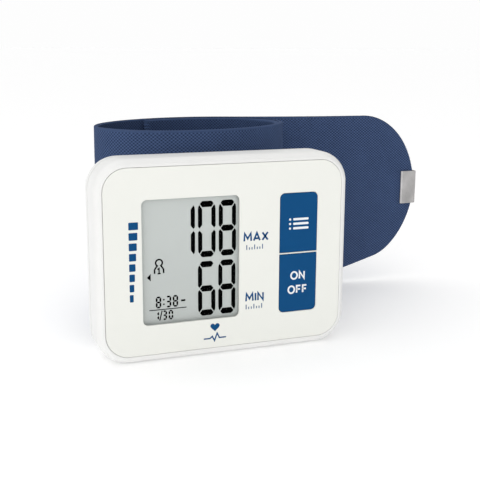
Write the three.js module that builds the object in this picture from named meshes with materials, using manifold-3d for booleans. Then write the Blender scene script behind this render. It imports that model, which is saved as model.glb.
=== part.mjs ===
// Wrist blood pressure monitor: a display casing carried on a hook-and-loop wrist cuff.
// Millimetres, +Z up. The display faces -Y, and the cuff lies behind the casing, towards +Y.
// The origin is on the base of the casing, midway through the depth of its rim.
// Depths are counted from the face plane towards the back.

import * as THREE from 'three';
import { mergeVertices } from 'three/addons/utils/BufferGeometryUtils.js';
import Module from 'manifold-3d';

const wasm = await Module();
wasm.setup();

// Clearances
const SEAT = 0.25; // gap that a piece keeps to the face it rests on
const FIT = 0.25; // side gap of a piece in its recess
const KEY_GAP = 0.15; // gap round a key in its opening
const SCREW_GAP = 0.15; // gap round a screw in its hole
const HOOK_GAP = 0.3; // hook patch to the strap above it and the cuff below
const OVERRUN = 1.0; // how far a cut runs past the faces that it opens

// Face layout
const DISPLAY_WIDTH = 31.7;
const DISPLAY_HEIGHT = 39.6;
const DISPLAY_CORNER = 1.7;
const DISPLAY_LEFT = 14.3; // casing's left edge to the window
const KEY_SPACE = 13.8; // window to the keys
const KEY_WIDTH = 13.3;
const KEY_CORNER = 1.7;
const KEY_DROP = 0.3; // keys below the line of the window
const KEY_DIVIDER = 0.4; // bar of the panel between the keys
const KEYS_RIGHT = 10.9; // keys to the casing's right edge
const FACE_BOTTOM = 12.0; // casing's base to the window
const FACE_TOP = 12.4; // window to the casing's top

// Casing
const RIM_DEPTH = 10.0; // front cover, from the face to the parting line
const WALL = 1.8;
const CORNER_RADIUS = 10.0;
const EDGE_RADIUS = 2.1; // round edge between the side and the face, seen from the front
const EDGE_DEPTH = 3.2; // and along the side
const BEZEL_LAND = 0.3; // flat left between that edge and the panel
const REAR_INSET = 8.0; // how far the rear cover draws in towards its back
const REAR_SHARE = 0.45; // share of that at the depth of the cells and the pump
const PARTING_GAP = 0.3;
const LIP_DEPTH = 1.2; // lip of the rear cover inside the front cover
const LIP_WALL = 0.9;

// Panel, window and display
const PANEL_THICK = 0.7;
const LENS_THICK = 0.5;
const LENS_LAP = 2.6; // lens beyond the window on each side
const LEDGE = 1.6; // front wall left behind the lens
const GLASS_LAP = 1.2; // display glass beyond the window
const GLASS_THICK = 2.0;
const FRAME_WALL = 1.0;
const STRIP_WIDTH = 1.8;
const STRIP_DEPTH = 1.8; // least, from the glass to the board
const STRIP_INSET = 2.0; // strip's ends from the glass's ends

// Keys and switches
const KEY_PROUD = 0.1;
const KEY_LIP = 1.2;
const KEY_LIP_THICK = 1.0;
const KEY_TRAVEL = 0.7;
const SWITCH_SIZE = 6.0;
const SWITCH_HEIGHT = 2.0;
const SWITCH_FLOOR = 0.5;
const STEM_RADIUS = 1.5;

// Board and what sits on its back
const BOARD_THICK = 1.2;
const BOARD_EDGE_GAP = 1.5;
const BOARD_CLEARANCE = 0.6; // board to the cells and the pump
const REST_WIDTH = 2.4;
const REST_HEIGHT = 6.0;
const CHIP_SIZE = 9.0;
const CHIP_THICK = 1.2;
const SENSOR_SIZE = 7.0;
const SENSOR_HEIGHT = 6.0;
const SENSOR_PORT_HEIGHT = 4.0;
const BUZZER_RADIUS = 4.5;
const BUZZER_HEIGHT = 4.0;

// Air parts
const PUMP_DIAMETER = 12.0;
const MOTOR_LENGTH = 20.0;
const PUMP_HEAD_LENGTH = 9.0;
const CRADLE_THICK = 1.4;
const NOZZLE_RADIUS = 1.1;
const NOZZLE_LENGTH = 3.2;
const HOSE_RADIUS = 2.0;
const HOSE_LENGTH = 7.0;
const SENSOR_HOSE_LENGTH = 12.6;
const TEE_SIZE = 5.0;
const VALVE_SIZE = 10.0;
const VALVE_LENGTH = 13.0;
const PORT_RADIUS = 1.5;

// Cells, contacts and battery door
const CELL_DIAMETER = 10.5;
const CELL_LENGTH = 44.5;
const CELL_NUB_RADIUS = 1.9;
const CELL_NUB_LENGTH = 1.0;
const CELL_EDGE = 0.5;
const CELL_SIDE_GAP = 2.4; // outer cell to the inside of the rim
const CELL_SPACE = 0.4;
const BAY_WALL = 1.2;
const CONTACT_SIZE = 8.0;
const CONTACT_THICK = 0.5;
const SPRING_LENGTH = 3.6;
const SPRING_TURNS = 3;
const SPRING_WIRE_RADIUS = 0.35;
const SPRING_BASE_RADIUS = 3.6;
const SPRING_TIP_RADIUS = 2.4;
const DOOR_BAND = 3.0; // strip of the rear cover left beside the parting line
const DOOR_TAB_THICK = 1.0;
const DOOR_TAB_WIDTH = 6.0;
const DOOR_TAB_REACH = 2.4;
const DOOR_TAB_ROOT = 1.4;
const DOOR_RIDGES = 5;
const DOOR_RIDGE_PITCH = 2.2;
const DOOR_RIDGE_PROUD = 0.4;
const DOOR_RIDGE_LENGTH = 14.0;

// Screws
const BOSS_RADIUS = 3.0;
const SCREW_RADIUS = 1.1;
const SCREW_HEAD_RADIUS = 2.0;
const SCREW_HEAD_HEIGHT = 1.5;
const SCREW_HEAD_EDGE = 0.9; // upright edge of the head, below its crown
const SCREW_CROWN_RADIUS = 1.2;
const SCREW_GRIP = 8.0; // rear cover held under the head
const SCREW_BITE = 4.0; // thread in the front cover
const PLATE_SCREW_BITE = 1.9;

// Cuff plate
const PLATE_LEFT = 22.0; // reach to the left of the casing's middle
const PLATE_HEIGHT = 36.0;
const PLATE_CORNER = 4.0;
const PLATE_MIN = 2.5; // thinnest part, behind the display
const PLATE_SCREW_INSET = 3.2;
const PLATE_SCREW_PITCH = 20.0;
const PLATE_SCREW_RAISE = 5.0; // middle of the screws above the casing's middle

// Cuff: an oval loop seen from above, closed by a strap that ends in a tongue
const CUFF_WIDTH = 69.5;
const LOOP_LONG = 37.7; // half of the oval's length
const LOOP_SHORT = 27.7; // half of its breadth
const LOOP_TURN = 17.8; // turn of the oval, in degrees
const LOOP_SHIFT = 6.1; // middle of the oval, right of the casing's middle
const CLOTH = 0.9;
const LINING = 0.8;
const BLADDER = 0.9;
const HOOK = 1.0;
const LAYER_GAP = 0.2;
const LINING_INSET = 0.6; // lining's edge below the cloth's edge
const BLADDER_INSET = 6.0;
const HOOK_INSET = 8.0;
const HINGE_ANGLE = 167; // leftmost point of the oval, where the strap opens
const HINGE_GAP = 0.3;
const WRAP_START = 345; // from here the inner end draws in under the strap
const WRAP_END = 400;
const BLADDER_START = 205;
const HOOK_TURN = 40; // degrees under the hook patch
const HOOK_MARGIN = 10; // degrees left clear before and after it
const LEAVE_ANGLE = 45; // where the strap leaves the oval as the tail

// Tail and tongue
const TAIL_SPAN = 82.85; // to the right, from where the tail leaves
const TAIL_DROP = 13.5; // towards the front
const TAIL_LEAD = 26.0; // straight run kept at its start
const TAIL_RUN = 40.0; // straight run kept at its end
const TONGUE_NOSE = 24.0; // length of the rounded end above the tip
const TONGUE_UNDER = 17.5; // and below it
const TONGUE_MIDDLE = 39.2; // height of its tip above the base
const TONGUE_STEP = 15.8; // how much the tongue narrows from below
const TONGUE_TAPER = 49.6; // over this length
const TONGUE_SOFT = 0.2; // share of that length in which the taper sets in
const TONGUE_TIP = 0.3; // rounded end stops short of a point
const TAB_WIDTH = 13.6;
const TAB_LAP = 6.5; // tab on the tongue
const TAB_PROUD = 0.85; // tab past the tip
const TAB_THICK = 0.6;
const TAB_GAP = 0.3;

// Facets
const CORNER_STEPS = 6;
const EDGE_STEPS = 5;
const REAR_STEPS = 6;
const ROUND_STEPS = 16;
const HOSE_STEPS = 10;
const BEND_STEPS = 12;
const COIL_STEPS = 8;
const WIRE_SIDES = 5;
const LOOP_STEP = 5; // degrees between the ribs of the loop
const TAIL_STEPS = 14;
const NOSE_STEPS = 12;
const MERGE = 1e-4;

// Sizes that follow from the ones above
const layerCuff = CLOTH + LAYER_GAP + BLADDER + LAYER_GAP + LINING;
const layerStrap = CLOTH + LAYER_GAP + LINING;
const wrap = layerStrap + HOOK_GAP + HOOK + HOOK_GAP;
const hookStart = WRAP_END + HOOK_MARGIN;
const hookEnd = hookStart + HOOK_TURN;
const innerEnd = hookEnd + HOOK_MARGIN;

const bayHeight = CELL_LENGTH + SPRING_LENGTH + 2 * CONTACT_THICK + 2 * SEAT;
const bayRoom = 2 * (WALL + REAR_SHARE * REAR_INSET + SEAT);
const width = DISPLAY_LEFT + DISPLAY_WIDTH + KEY_SPACE + KEY_WIDTH + KEYS_RIGHT;
const height = Math.max(FACE_BOTTOM + DISPLAY_HEIGHT + FACE_TOP, bayHeight + bayRoom);
const left = -width / 2;
const right = width / 2;
const middle = height / 2;
const face = -RIM_DEPTH / 2;

const display = {
  x0: left + DISPLAY_LEFT,
  x1: left + DISPLAY_LEFT + DISPLAY_WIDTH,
  z0: FACE_BOTTOM,
  z1: FACE_BOTTOM + DISPLAY_HEIGHT,
};
const keys = {
  x0: right - KEYS_RIGHT - KEY_WIDTH,
  x1: right - KEYS_RIGHT,
  z0: display.z0 - KEY_DROP,
  z1: display.z1 - KEY_DROP,
};
const dividerMiddle = (keys.z0 + keys.z1) / 2;
const keyRects = {
  memory: { ...keys, z0: dividerMiddle + KEY_DIVIDER / 2 },
  start: { ...keys, z1: dividerMiddle - KEY_DIVIDER / 2 },
};

const panelMargin = EDGE_RADIUS + BEZEL_LAND;
const recessDepth = PANEL_THICK + SEAT;
const lensBack = recessDepth + LENS_THICK;
const pocketDepth = lensBack + SEAT;
const wallBack = pocketDepth + LEDGE;
const glassFront = lensBack + SEAT;
const glassBack = glassFront + GLASS_THICK;
const keyLipFront = wallBack + SEAT;
const keyLipBack = keyLipFront + KEY_LIP_THICK;
const stemFront = keyLipBack + SEAT;
const switchFront = stemFront + KEY_TRAVEL + SEAT;
const switchBack = switchFront + SWITCH_HEIGHT;
const boardFront = Math.max(switchBack, glassBack + STRIP_DEPTH) + SEAT;
const boardBack = boardFront + BOARD_THICK;
const mountedDepth = boardBack + SEAT;
const rearStart = boardBack + BOARD_CLEARANCE;
const rearRoom = Math.max(PUMP_DIAMETER, CELL_DIAMETER + DOOR_TAB_THICK + 2 * SEAT);
const innerBack = rearStart + rearRoom + SEAT;
const depth = innerBack + WALL;

const lipInset = WALL + FIT + LIP_WALL;
const cornerSpare = Math.max(CORNER_RADIUS - lipInset - SEAT - BOSS_RADIUS, 0);
const screwInset = lipInset + SEAT + BOSS_RADIUS + cornerSpare * (1 - Math.SQRT1_2);
const cellRadius = CELL_DIAMETER / 2;
const cellDepth = rearStart + cellRadius;
const cellX = [1, 0].map((step) => (
  right - WALL - CELL_SIDE_GAP - cellRadius - step * (CELL_DIAMETER + CELL_SPACE)
));
const bayLeft = cellX[0] - cellRadius - SEAT - BAY_WALL;
const bayBottom = middle - bayHeight / 2;
const bayTop = middle + bayHeight / 2;
const doorLeft = bayLeft + BAY_WALL + SEAT;
const screwColumns = [left + screwInset, bayLeft - SEAT - BOSS_RADIUS];
const screwRows = [screwInset, height - screwInset];
const screwSeat = RIM_DEPTH + SCREW_GRIP;
const tabDepth = innerBack - SEAT - DOOR_TAB_THICK;
const tabRows = [bayBottom + bayHeight / 4, bayTop - bayHeight / 4];

const pumpRadius = PUMP_DIAMETER / 2;
const pumpDepth = innerBack - SEAT - pumpRadius;
const pumpHeight = screwInset + BOSS_RADIUS + SEAT + pumpRadius;
const motorLeft = left + WALL + REAR_SHARE * REAR_INSET + SEAT;
const headLeft = motorLeft + MOTOR_LENGTH + SEAT;
const airX = headLeft + PUMP_HEAD_LENGTH / 2;
const pumpTop = pumpHeight + pumpRadius;
const teeBottom = pumpTop + HOSE_LENGTH + 2 * SEAT;
const teeMiddle = teeBottom + TEE_SIZE / 2;
const teeTop = teeBottom + TEE_SIZE;
const valveBottom = teeTop + HOSE_LENGTH + 2 * SEAT;
const hoseBore = NOZZLE_RADIUS + SCREW_GAP;
const teeLeft = airX - TEE_SIZE / 2;
const sensorRight = teeLeft - SENSOR_HOSE_LENGTH;
const sensorPortDepth = mountedDepth + SENSOR_PORT_HEIGHT;

const turn = THREE.MathUtils.degToRad(LOOP_TURN);
const loopReach = Math.hypot(LOOP_LONG * Math.sin(turn), LOOP_SHORT * Math.cos(turn));
const plateFront = depth + SEAT;
const loopMiddle = new THREE.Vector2(LOOP_SHIFT, face + plateFront + PLATE_MIN + SEAT + loopReach);
const plateBottom = middle - PLATE_HEIGHT / 2;
const plateTop = middle + PLATE_HEIGHT / 2;
const plateRight = bayLeft - SEAT;
const plateScrewColumns = [-PLATE_LEFT + PLATE_SCREW_INSET, plateRight - PLATE_SCREW_INSET - SEAT];
const plateScrewMiddle = middle + PLATE_SCREW_RAISE;
const plateScrewRows = [-1, 1].map((side) => plateScrewMiddle + side * PLATE_SCREW_PITCH / 2);

// Finishes
const FINISH = {
  shell: { color: 0xeeeeec, roughness: 0.35, metalness: 0 },
  panel: { color: 0xf2f3ee, roughness: 0.25, metalness: 0 },
  clear: { color: 0xdfe6e4, roughness: 0.05, metalness: 0, transparent: true, opacity: 0.3 },
  display: { color: 0xc3c8c5, roughness: 0.2, metalness: 0 },
  key: { color: 0x145288, roughness: 0.35, metalness: 0 },
  dark: { color: 0x26282c, roughness: 0.5, metalness: 0 },
  board: { color: 0x2c6b3f, roughness: 0.5, metalness: 0 },
  metal: { color: 0xb9bcc0, roughness: 0.3, metalness: 1 },
  silicone: { color: 0xd9dbd6, roughness: 0.6, metalness: 0 },
  cell: { color: 0x3b3f45, roughness: 0.35, metalness: 0.2 },
  cloth: { color: 0x3a4865, roughness: 0.95, metalness: 0 },
  lining: { color: 0x24344e, roughness: 0.98, metalness: 0 },
  hook: { color: 0x16181d, roughness: 0.95, metalness: 0 },
  tab: { color: 0xafacac, roughness: 0.9, metalness: 0 },
};

const monitor = new THREE.Group();

function add(name, geometry, finish) {
  const mesh = new THREE.Mesh(geometry, new THREE.MeshStandardMaterial(FINISH[finish]));
  mesh.name = name;
  mesh.geometry.computeVertexNormals();
  monitor.add(mesh);
}

// Closed-mesh helpers

function signedVolume(geometry) {
  const position = geometry.attributes.position;
  const index = geometry.index.array;
  const corners = [new THREE.Vector3(), new THREE.Vector3(), new THREE.Vector3()];
  let volume = 0;
  for (let i = 0; i < index.length; i += 3) {
    corners.forEach((corner, k) => corner.fromBufferAttribute(position, index[i + k]));
    volume += corners[0].dot(corners[1].cross(corners[2])) / 6;
  }
  return volume;
}

// Shared vertices, no flat triangles, faces pointing out.
function tidy(geometry) {
  geometry.deleteAttribute('normal');
  geometry.deleteAttribute('uv');
  const merged = mergeVertices(geometry, MERGE);
  const source = merged.index.array;
  const kept = [];
  for (let i = 0; i < source.length; i += 3) {
    const triangle = [source[i], source[i + 1], source[i + 2]];
    if (new Set(triangle).size === 3) kept.push(...triangle);
  }
  merged.setIndex(kept);
  if (signedVolume(merged) < 0) merged.setIndex(kept.reverse());
  return merged;
}

function toSolid(geometry) {
  const clean = tidy(geometry);
  return new wasm.Manifold(new wasm.Mesh({
    numProp: 3,
    vertProperties: new Float32Array(clean.attributes.position.array),
    triVerts: new Uint32Array(clean.index.array),
  }));
}

function toGeometry(solid) {
  const mesh = solid.getMesh();
  const geometry = new THREE.BufferGeometry();
  geometry.setAttribute('position', new THREE.BufferAttribute(mesh.vertProperties, 3));
  geometry.setIndex(new THREE.BufferAttribute(mesh.triVerts, 1));
  return geometry;
}

const joined = (first, ...others) => others.reduce((solid, other) => solid.add(toSolid(other)), first);
const cutBy = (first, ...others) => others.reduce((solid, other) => solid.subtract(toSolid(other)), first);

// Shape helpers

// Rectangle with round corners, counter-clockwise from the lower left; radii in the same order.
function roundedPoints({ x0, z0, x1, z1 }, radii, steps = CORNER_STEPS) {
  const centres = [[x0, z0, 1, 1], [x1, z0, -1, 1], [x1, z1, -1, -1], [x0, z1, 1, -1]];
  return centres.flatMap(([x, z, dx, dz], corner) => {
    const radius = Array.isArray(radii) ? radii[corner] : radii;
    if (radius <= 0) return [new THREE.Vector2(x, z)];
    const start = Math.PI + corner * Math.PI / 2;
    return Array.from({ length: steps + 1 }, (_, i) => {
      const angle = start + i / steps * Math.PI / 2;
      return new THREE.Vector2(
        x + dx * radius + radius * Math.cos(angle),
        z + dz * radius + radius * Math.sin(angle),
      );
    });
  });
}

const grown = ({ x0, z0, x1, z1 }, by) => ({ x0: x0 - by, z0: z0 - by, x1: x1 + by, z1: z1 + by });

// Front-view outline between two depths.
function slab(points, front, back) {
  const geometry = new THREE.ExtrudeGeometry(new THREE.Shape(points), {
    depth: back - front, bevelEnabled: false,
  });
  return geometry.rotateX(Math.PI / 2).translate(0, face + back, 0);
}

const plate = (rect, radii, front, back) => slab(roundedPoints(rect, radii), front, back);

// Plan-view outline between two heights.
function prism(points, bottom, top) {
  const geometry = new THREE.ExtrudeGeometry(new THREE.Shape(points), {
    depth: top - bottom, bevelEnabled: false,
  });
  return geometry.translate(0, 0, bottom);
}

// Round bar along the depth.
function bar(x, z, radius, front, back, steps = ROUND_STEPS) {
  const geometry = new THREE.CylinderGeometry(radius, radius, back - front, steps);
  return geometry.translate(x, face + (front + back) / 2, z);
}

// Upright round bar.
function post(x, at, radius, bottom, top, steps = ROUND_STEPS) {
  const geometry = new THREE.CylinderGeometry(radius, radius, top - bottom, steps);
  return geometry.rotateX(Math.PI / 2).translate(x, face + at, (bottom + top) / 2);
}

// Round bar along X.
function spindle(x0, x1, at, z, radius, steps = ROUND_STEPS) {
  const geometry = new THREE.CylinderGeometry(radius, radius, x1 - x0, steps);
  return geometry.rotateZ(-Math.PI / 2).translate((x0 + x1) / 2, face + at, z);
}

const turned = (profile, steps = ROUND_STEPS) => (
  new THREE.LatheGeometry(profile.map(([r, h]) => new THREE.Vector2(r, h)), steps)
);

// Round section of a hose or a wire.
function circle(radius, sides) {
  return new THREE.Shape(Array.from({ length: sides }, (_, i) => {
    const angle = i / sides * 2 * Math.PI;
    return new THREE.Vector2(radius * Math.cos(angle), radius * Math.sin(angle));
  }));
}

// Closed skin through convex rings of equal length, with flat ends.
function skin(rings) {
  const count = rings[0].length;
  const index = [];
  for (let ring = 0; ring + 1 < rings.length; ring += 1) {
    for (let i = 0; i < count; i += 1) {
      const a = ring * count + i;
      const b = ring * count + (i + 1) % count;
      index.push(a, b, b + count, a, b + count, a + count);
    }
  }
  const last = (rings.length - 1) * count;
  for (let i = 1; i + 1 < count; i += 1) {
    index.push(0, i + 1, i);
    index.push(last, last + i, last + i + 1);
  }
  const positions = rings.flat().flatMap((point) => point.toArray());
  const geometry = new THREE.BufferGeometry();
  geometry.setAttribute('position', new THREE.Float32BufferAttribute(positions, 3));
  geometry.setIndex(index);
  return tidy(geometry);
}

// Casing

const casingRect = (inset) => grown({ x0: left, z0: 0, x1: right, z1: height }, -inset);

function casingPoints(inset) {
  return roundedPoints(casingRect(inset), Math.max(CORNER_RADIUS - inset, WALL / 4));
}

const casingRing = (at, inset) => (
  casingPoints(inset).map((point) => new THREE.Vector3(point.x, face + at, point.y))
);

// Rear form between two depths: a quarter oval that draws in by REAR_INSET at the back.
function rearForm(front, back, inset) {
  const rings = Array.from({ length: REAR_STEPS + 1 }, (_, i) => {
    const angle = i / REAR_STEPS * Math.PI / 2;
    const drawn = inset + REAR_INSET * (1 - Math.cos(angle));
    return casingRing(front + (back - front) * Math.sin(angle), drawn);
  });
  return skin(rings);
}

const screwPlaces = screwColumns.flatMap((x) => screwRows.map((z) => [x, z]));
const plateScrewPlaces = plateScrewColumns.flatMap((x) => plateScrewRows.map((z) => [x, z]));

function frontCover() {
  const edge = Array.from({ length: EDGE_STEPS + 1 }, (_, i) => {
    const angle = i / EDGE_STEPS * Math.PI / 2;
    return casingRing(EDGE_DEPTH * (1 - Math.sin(angle)), EDGE_RADIUS * (1 - Math.cos(angle)));
  });
  const back = RIM_DEPTH - PARTING_GAP / 2;
  const outer = skin([...edge.reverse(), casingRing(back, 0)]);
  const lensPocket = grown(display, LENS_LAP + FIT);
  const glassOpening = grown(display, GLASS_LAP + FIT);
  let cover = cutBy(
    toSolid(outer),
    slab(casingPoints(WALL), wallBack, RIM_DEPTH),
    slab(casingPoints(panelMargin), -OVERRUN, recessDepth),
    plate(lensPocket, DISPLAY_CORNER, 0, pocketDepth),
    plate(glassOpening, 0, 0, RIM_DEPTH),
    plate(keys, KEY_CORNER, 0, RIM_DEPTH),
  );
  const restInset = WALL + FIT + LIP_WALL + SEAT + BOARD_EDGE_GAP;
  for (const x of [left + restInset, right - restInset - REST_WIDTH]) {
    for (const z of [middle - height / 4, middle + height / 4]) {
      const rest = { x0: x, x1: x + REST_WIDTH, z0: z - REST_HEIGHT / 2, z1: z + REST_HEIGHT / 2 };
      cover = joined(cover, plate(rest, 0, wallBack - LEDGE / 2, boardFront - SEAT));
    }
  }
  for (const [x, z] of screwPlaces) {
    const pilot = RIM_DEPTH - SCREW_BITE - SCREW_HEAD_HEIGHT;
    cover = joined(cover, bar(x, z, BOSS_RADIUS, wallBack - LEDGE / 2, back));
    cover = cutBy(cover, bar(x, z, SCREW_RADIUS + SCREW_GAP, pilot, RIM_DEPTH));
  }
  add('front_cover', toGeometry(cover), 'shell');
}

function rearShell() {
  const front = RIM_DEPTH + PARTING_GAP / 2;
  const outer = toSolid(rearForm(front, depth, 0));
  const inner = toSolid(rearForm(front, innerBack, WALL));
  const mouth = toSolid(slab(casingPoints(WALL), RIM_DEPTH, front + SEAT));
  return { outer, shell: outer.subtract(inner).subtract(mouth) };
}

// Space of the battery door: the right of the back, wrapping on to the right side.
function doorSpace(shrink) {
  const rect = { x0: doorLeft, x1: right + WALL, z0: bayBottom, z1: bayTop };
  return plate(grown(rect, -shrink), 0, RIM_DEPTH + DOOR_BAND + shrink, depth + WALL);
}

// Tabs on the door's left edge, which lie under the back of the rear cover.
function doorTabs(clearance) {
  return tabRows.map((z) => plate({
    x0: doorLeft - DOOR_TAB_REACH - clearance,
    x1: doorLeft + DOOR_TAB_ROOT,
    z0: z - DOOR_TAB_WIDTH / 2 - clearance,
    z1: z + DOOR_TAB_WIDTH / 2 + clearance,
  }, 0, tabDepth - clearance, innerBack));
}

function rearCover({ outer, shell }) {
  const front = RIM_DEPTH + PARTING_GAP / 2;
  const lipFront = RIM_DEPTH - LIP_DEPTH;
  let cover = shell.subtract(toSolid(doorSpace(0)));
  const lip = cutBy(
    toSolid(slab(casingPoints(WALL + FIT), lipFront, front + WALL)),
    slab(casingPoints(lipInset), lipFront - WALL, front + 2 * WALL),
  );
  const foot = cutBy(
    toSolid(slab(casingPoints(WALL / 2), front, front + WALL)),
    slab(casingPoints(lipInset), front - WALL, front + 2 * WALL),
  );
  const bayWall = plate(
    { x0: bayLeft, x1: bayLeft + BAY_WALL, z0: bayBottom, z1: bayTop }, 0, rearStart, depth - WALL / 2,
  );
  let inside = lip.add(foot).add(toSolid(bayWall));
  for (const [x, z] of screwPlaces) inside = joined(inside, bar(x, z, BOSS_RADIUS, front, depth));
  for (const x of [motorLeft + MOTOR_LENGTH / 4, motorLeft + 3 * MOTOR_LENGTH / 4]) {
    const cradle = {
      x0: x - CRADLE_THICK / 2,
      x1: x + CRADLE_THICK / 2,
      z0: pumpHeight - pumpRadius / 2,
      z1: pumpHeight + pumpRadius / 2,
    };
    inside = joined(inside, plate(cradle, 0, pumpDepth + pumpRadius / 2, depth - WALL / 2));
  }
  const frontHalf = toSolid(slab(casingPoints(WALL + FIT), lipFront - OVERRUN, front));
  const limits = outer.add(frontHalf);
  cover = cover.add(inside.intersect(limits));
  cover = cutBy(cover, spindle(motorLeft - OVERRUN, headLeft, pumpDepth, pumpHeight, pumpRadius + SEAT));
  for (const [x, z] of screwPlaces) {
    cover = cutBy(cover, bar(x, z, SCREW_RADIUS + SCREW_GAP, RIM_DEPTH - OVERRUN, depth));
    cover = cutBy(cover, bar(x, z, SCREW_HEAD_RADIUS + SCREW_GAP, screwSeat, depth + OVERRUN));
  }
  for (const [x, z] of plateScrewPlaces) {
    cover = cutBy(cover, bar(x, z, SCREW_RADIUS + SCREW_GAP, innerBack - OVERRUN, depth + OVERRUN));
  }
  cover = cutBy(cover, bar(airX, teeMiddle, PORT_RADIUS + SEAT, innerBack - OVERRUN, depth + OVERRUN));
  cover = cutBy(cover, ...doorTabs(SEAT));
  add('rear_cover', toGeometry(cover), 'shell');
}

function batteryDoor({ shell }) {
  let door = shell.intersect(toSolid(doorSpace(FIT)));
  for (const tab of doorTabs(0)) door = joined(door, tab);
  for (const z of tabRows) {
    const root = {
      x0: doorLeft + FIT,
      x1: doorLeft + DOOR_TAB_ROOT,
      z0: z - DOOR_TAB_WIDTH / 2,
      z1: z + DOOR_TAB_WIDTH / 2,
    };
    door = joined(door, plate(root, 0, tabDepth, depth - WALL / 2));
  }
  const ridgeMiddle = (doorLeft + right - REAR_INSET) / 2;
  for (let i = 0; i < DOOR_RIDGES; i += 1) {
    const x = ridgeMiddle + (i - (DOOR_RIDGES - 1) / 2) * DOOR_RIDGE_PITCH;
    const ridge = {
      x0: x - DOOR_RIDGE_PITCH / 4,
      x1: x + DOOR_RIDGE_PITCH / 4,
      z0: middle - DOOR_RIDGE_LENGTH / 2,
      z1: middle + DOOR_RIDGE_LENGTH / 2,
    };
    door = joined(door, plate(ridge, DOOR_RIDGE_PITCH / 5, depth - WALL / 2, depth + DOOR_RIDGE_PROUD));
  }
  add('battery_door', toGeometry(door), 'shell');
}

function caseScrews() {
  const length = SCREW_GRIP + SCREW_BITE;
  const profile = [
    [0, 0],
    [SCREW_RADIUS, SCREW_RADIUS],
    [SCREW_RADIUS, length],
    [SCREW_HEAD_RADIUS, length],
    [SCREW_HEAD_RADIUS, length + SCREW_HEAD_EDGE],
    [SCREW_CROWN_RADIUS, length + SCREW_HEAD_HEIGHT],
    [0, length + SCREW_HEAD_HEIGHT],
  ];
  screwPlaces.forEach(([x, z], i) => {
    const screw = turned(profile, HOSE_STEPS).translate(x, face + screwSeat + SEAT - length, z);
    add(`case_screw_${i + 1}`, tidy(screw), 'metal');
  });
}

// Panel, window and display

function facePanel() {
  const panel = cutBy(
    toSolid(slab(casingPoints(panelMargin + FIT), 0, PANEL_THICK)),
    plate(display, DISPLAY_CORNER, -OVERRUN, PANEL_THICK + OVERRUN),
    plate(keyRects.memory, [0, 0, KEY_CORNER, KEY_CORNER], -OVERRUN, PANEL_THICK + OVERRUN),
    plate(keyRects.start, [KEY_CORNER, KEY_CORNER, 0, 0], -OVERRUN, PANEL_THICK + OVERRUN),
  );
  add('face_panel', toGeometry(panel), 'panel');
}

function displayStack() {
  const glass = grown(display, GLASS_LAP);
  add('display_lens', tidy(plate(grown(display, LENS_LAP), DISPLAY_CORNER, recessDepth, lensBack)), 'clear');
  add('lcd_glass', tidy(plate(glass, 0, glassFront, glassBack)), 'display');
  const frame = cutBy(
    toSolid(plate(grown(glass, FIT + FRAME_WALL), FRAME_WALL, wallBack + SEAT, boardFront - SEAT)),
    plate(grown(glass, FIT), 0, 0, boardFront),
  );
  add('lcd_frame', toGeometry(frame), 'dark');
  [glass.z0, glass.z1 - STRIP_WIDTH].forEach((z0, i) => {
    const strip = { x0: glass.x0 + STRIP_INSET, x1: glass.x1 - STRIP_INSET, z0, z1: z0 + STRIP_WIDTH };
    add(`connector_strip_${i + 1}`, tidy(plate(strip, 0, glassBack + SEAT, boardFront - SEAT)), 'dark');
  });
}

// Keys and switches

function key(name, rect, capRadii, lipSides) {
  const cap = slab(roundedPoints(grown(rect, -KEY_GAP), capRadii), -KEY_PROUD, keyLipBack);
  const lipRect = {
    x0: rect.x0 - KEY_LIP,
    x1: rect.x1 + KEY_LIP,
    z0: rect.z0 - KEY_LIP * lipSides.below + KEY_GAP,
    z1: rect.z1 + KEY_LIP * lipSides.above - KEY_GAP,
  };
  const body = joined(toSolid(cap), plate(lipRect, 0, keyLipFront, keyLipBack));
  add(`${name}_key`, toGeometry(body), 'key');

  const x = (rect.x0 + rect.x1) / 2;
  const z = (rect.z0 + rect.z1) / 2;
  const half = SWITCH_SIZE / 2;
  const floor = switchBack - SWITCH_FLOOR;
  const base = cutBy(
    toSolid(plate({ x0: x - half, x1: x + half, z0: z - half, z1: z + half }, 0, switchFront, switchBack)),
    bar(x, z, STEM_RADIUS + KEY_GAP, switchFront - OVERRUN, floor),
  );
  add(`${name}_switch`, toGeometry(base), 'dark');
  add(`${name}_stem`, tidy(bar(x, z, STEM_RADIUS, stemFront, floor - KEY_TRAVEL - SEAT / 2)), 'dark');
}

function keyPair() {
  const capCorner = KEY_CORNER - KEY_GAP;
  key('memory', keyRects.memory, [0, 0, capCorner, capCorner], { below: 0, above: 1 });
  key('start', keyRects.start, [capCorner, capCorner, 0, 0], { below: 1, above: 0 });
}

// Board

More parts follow.
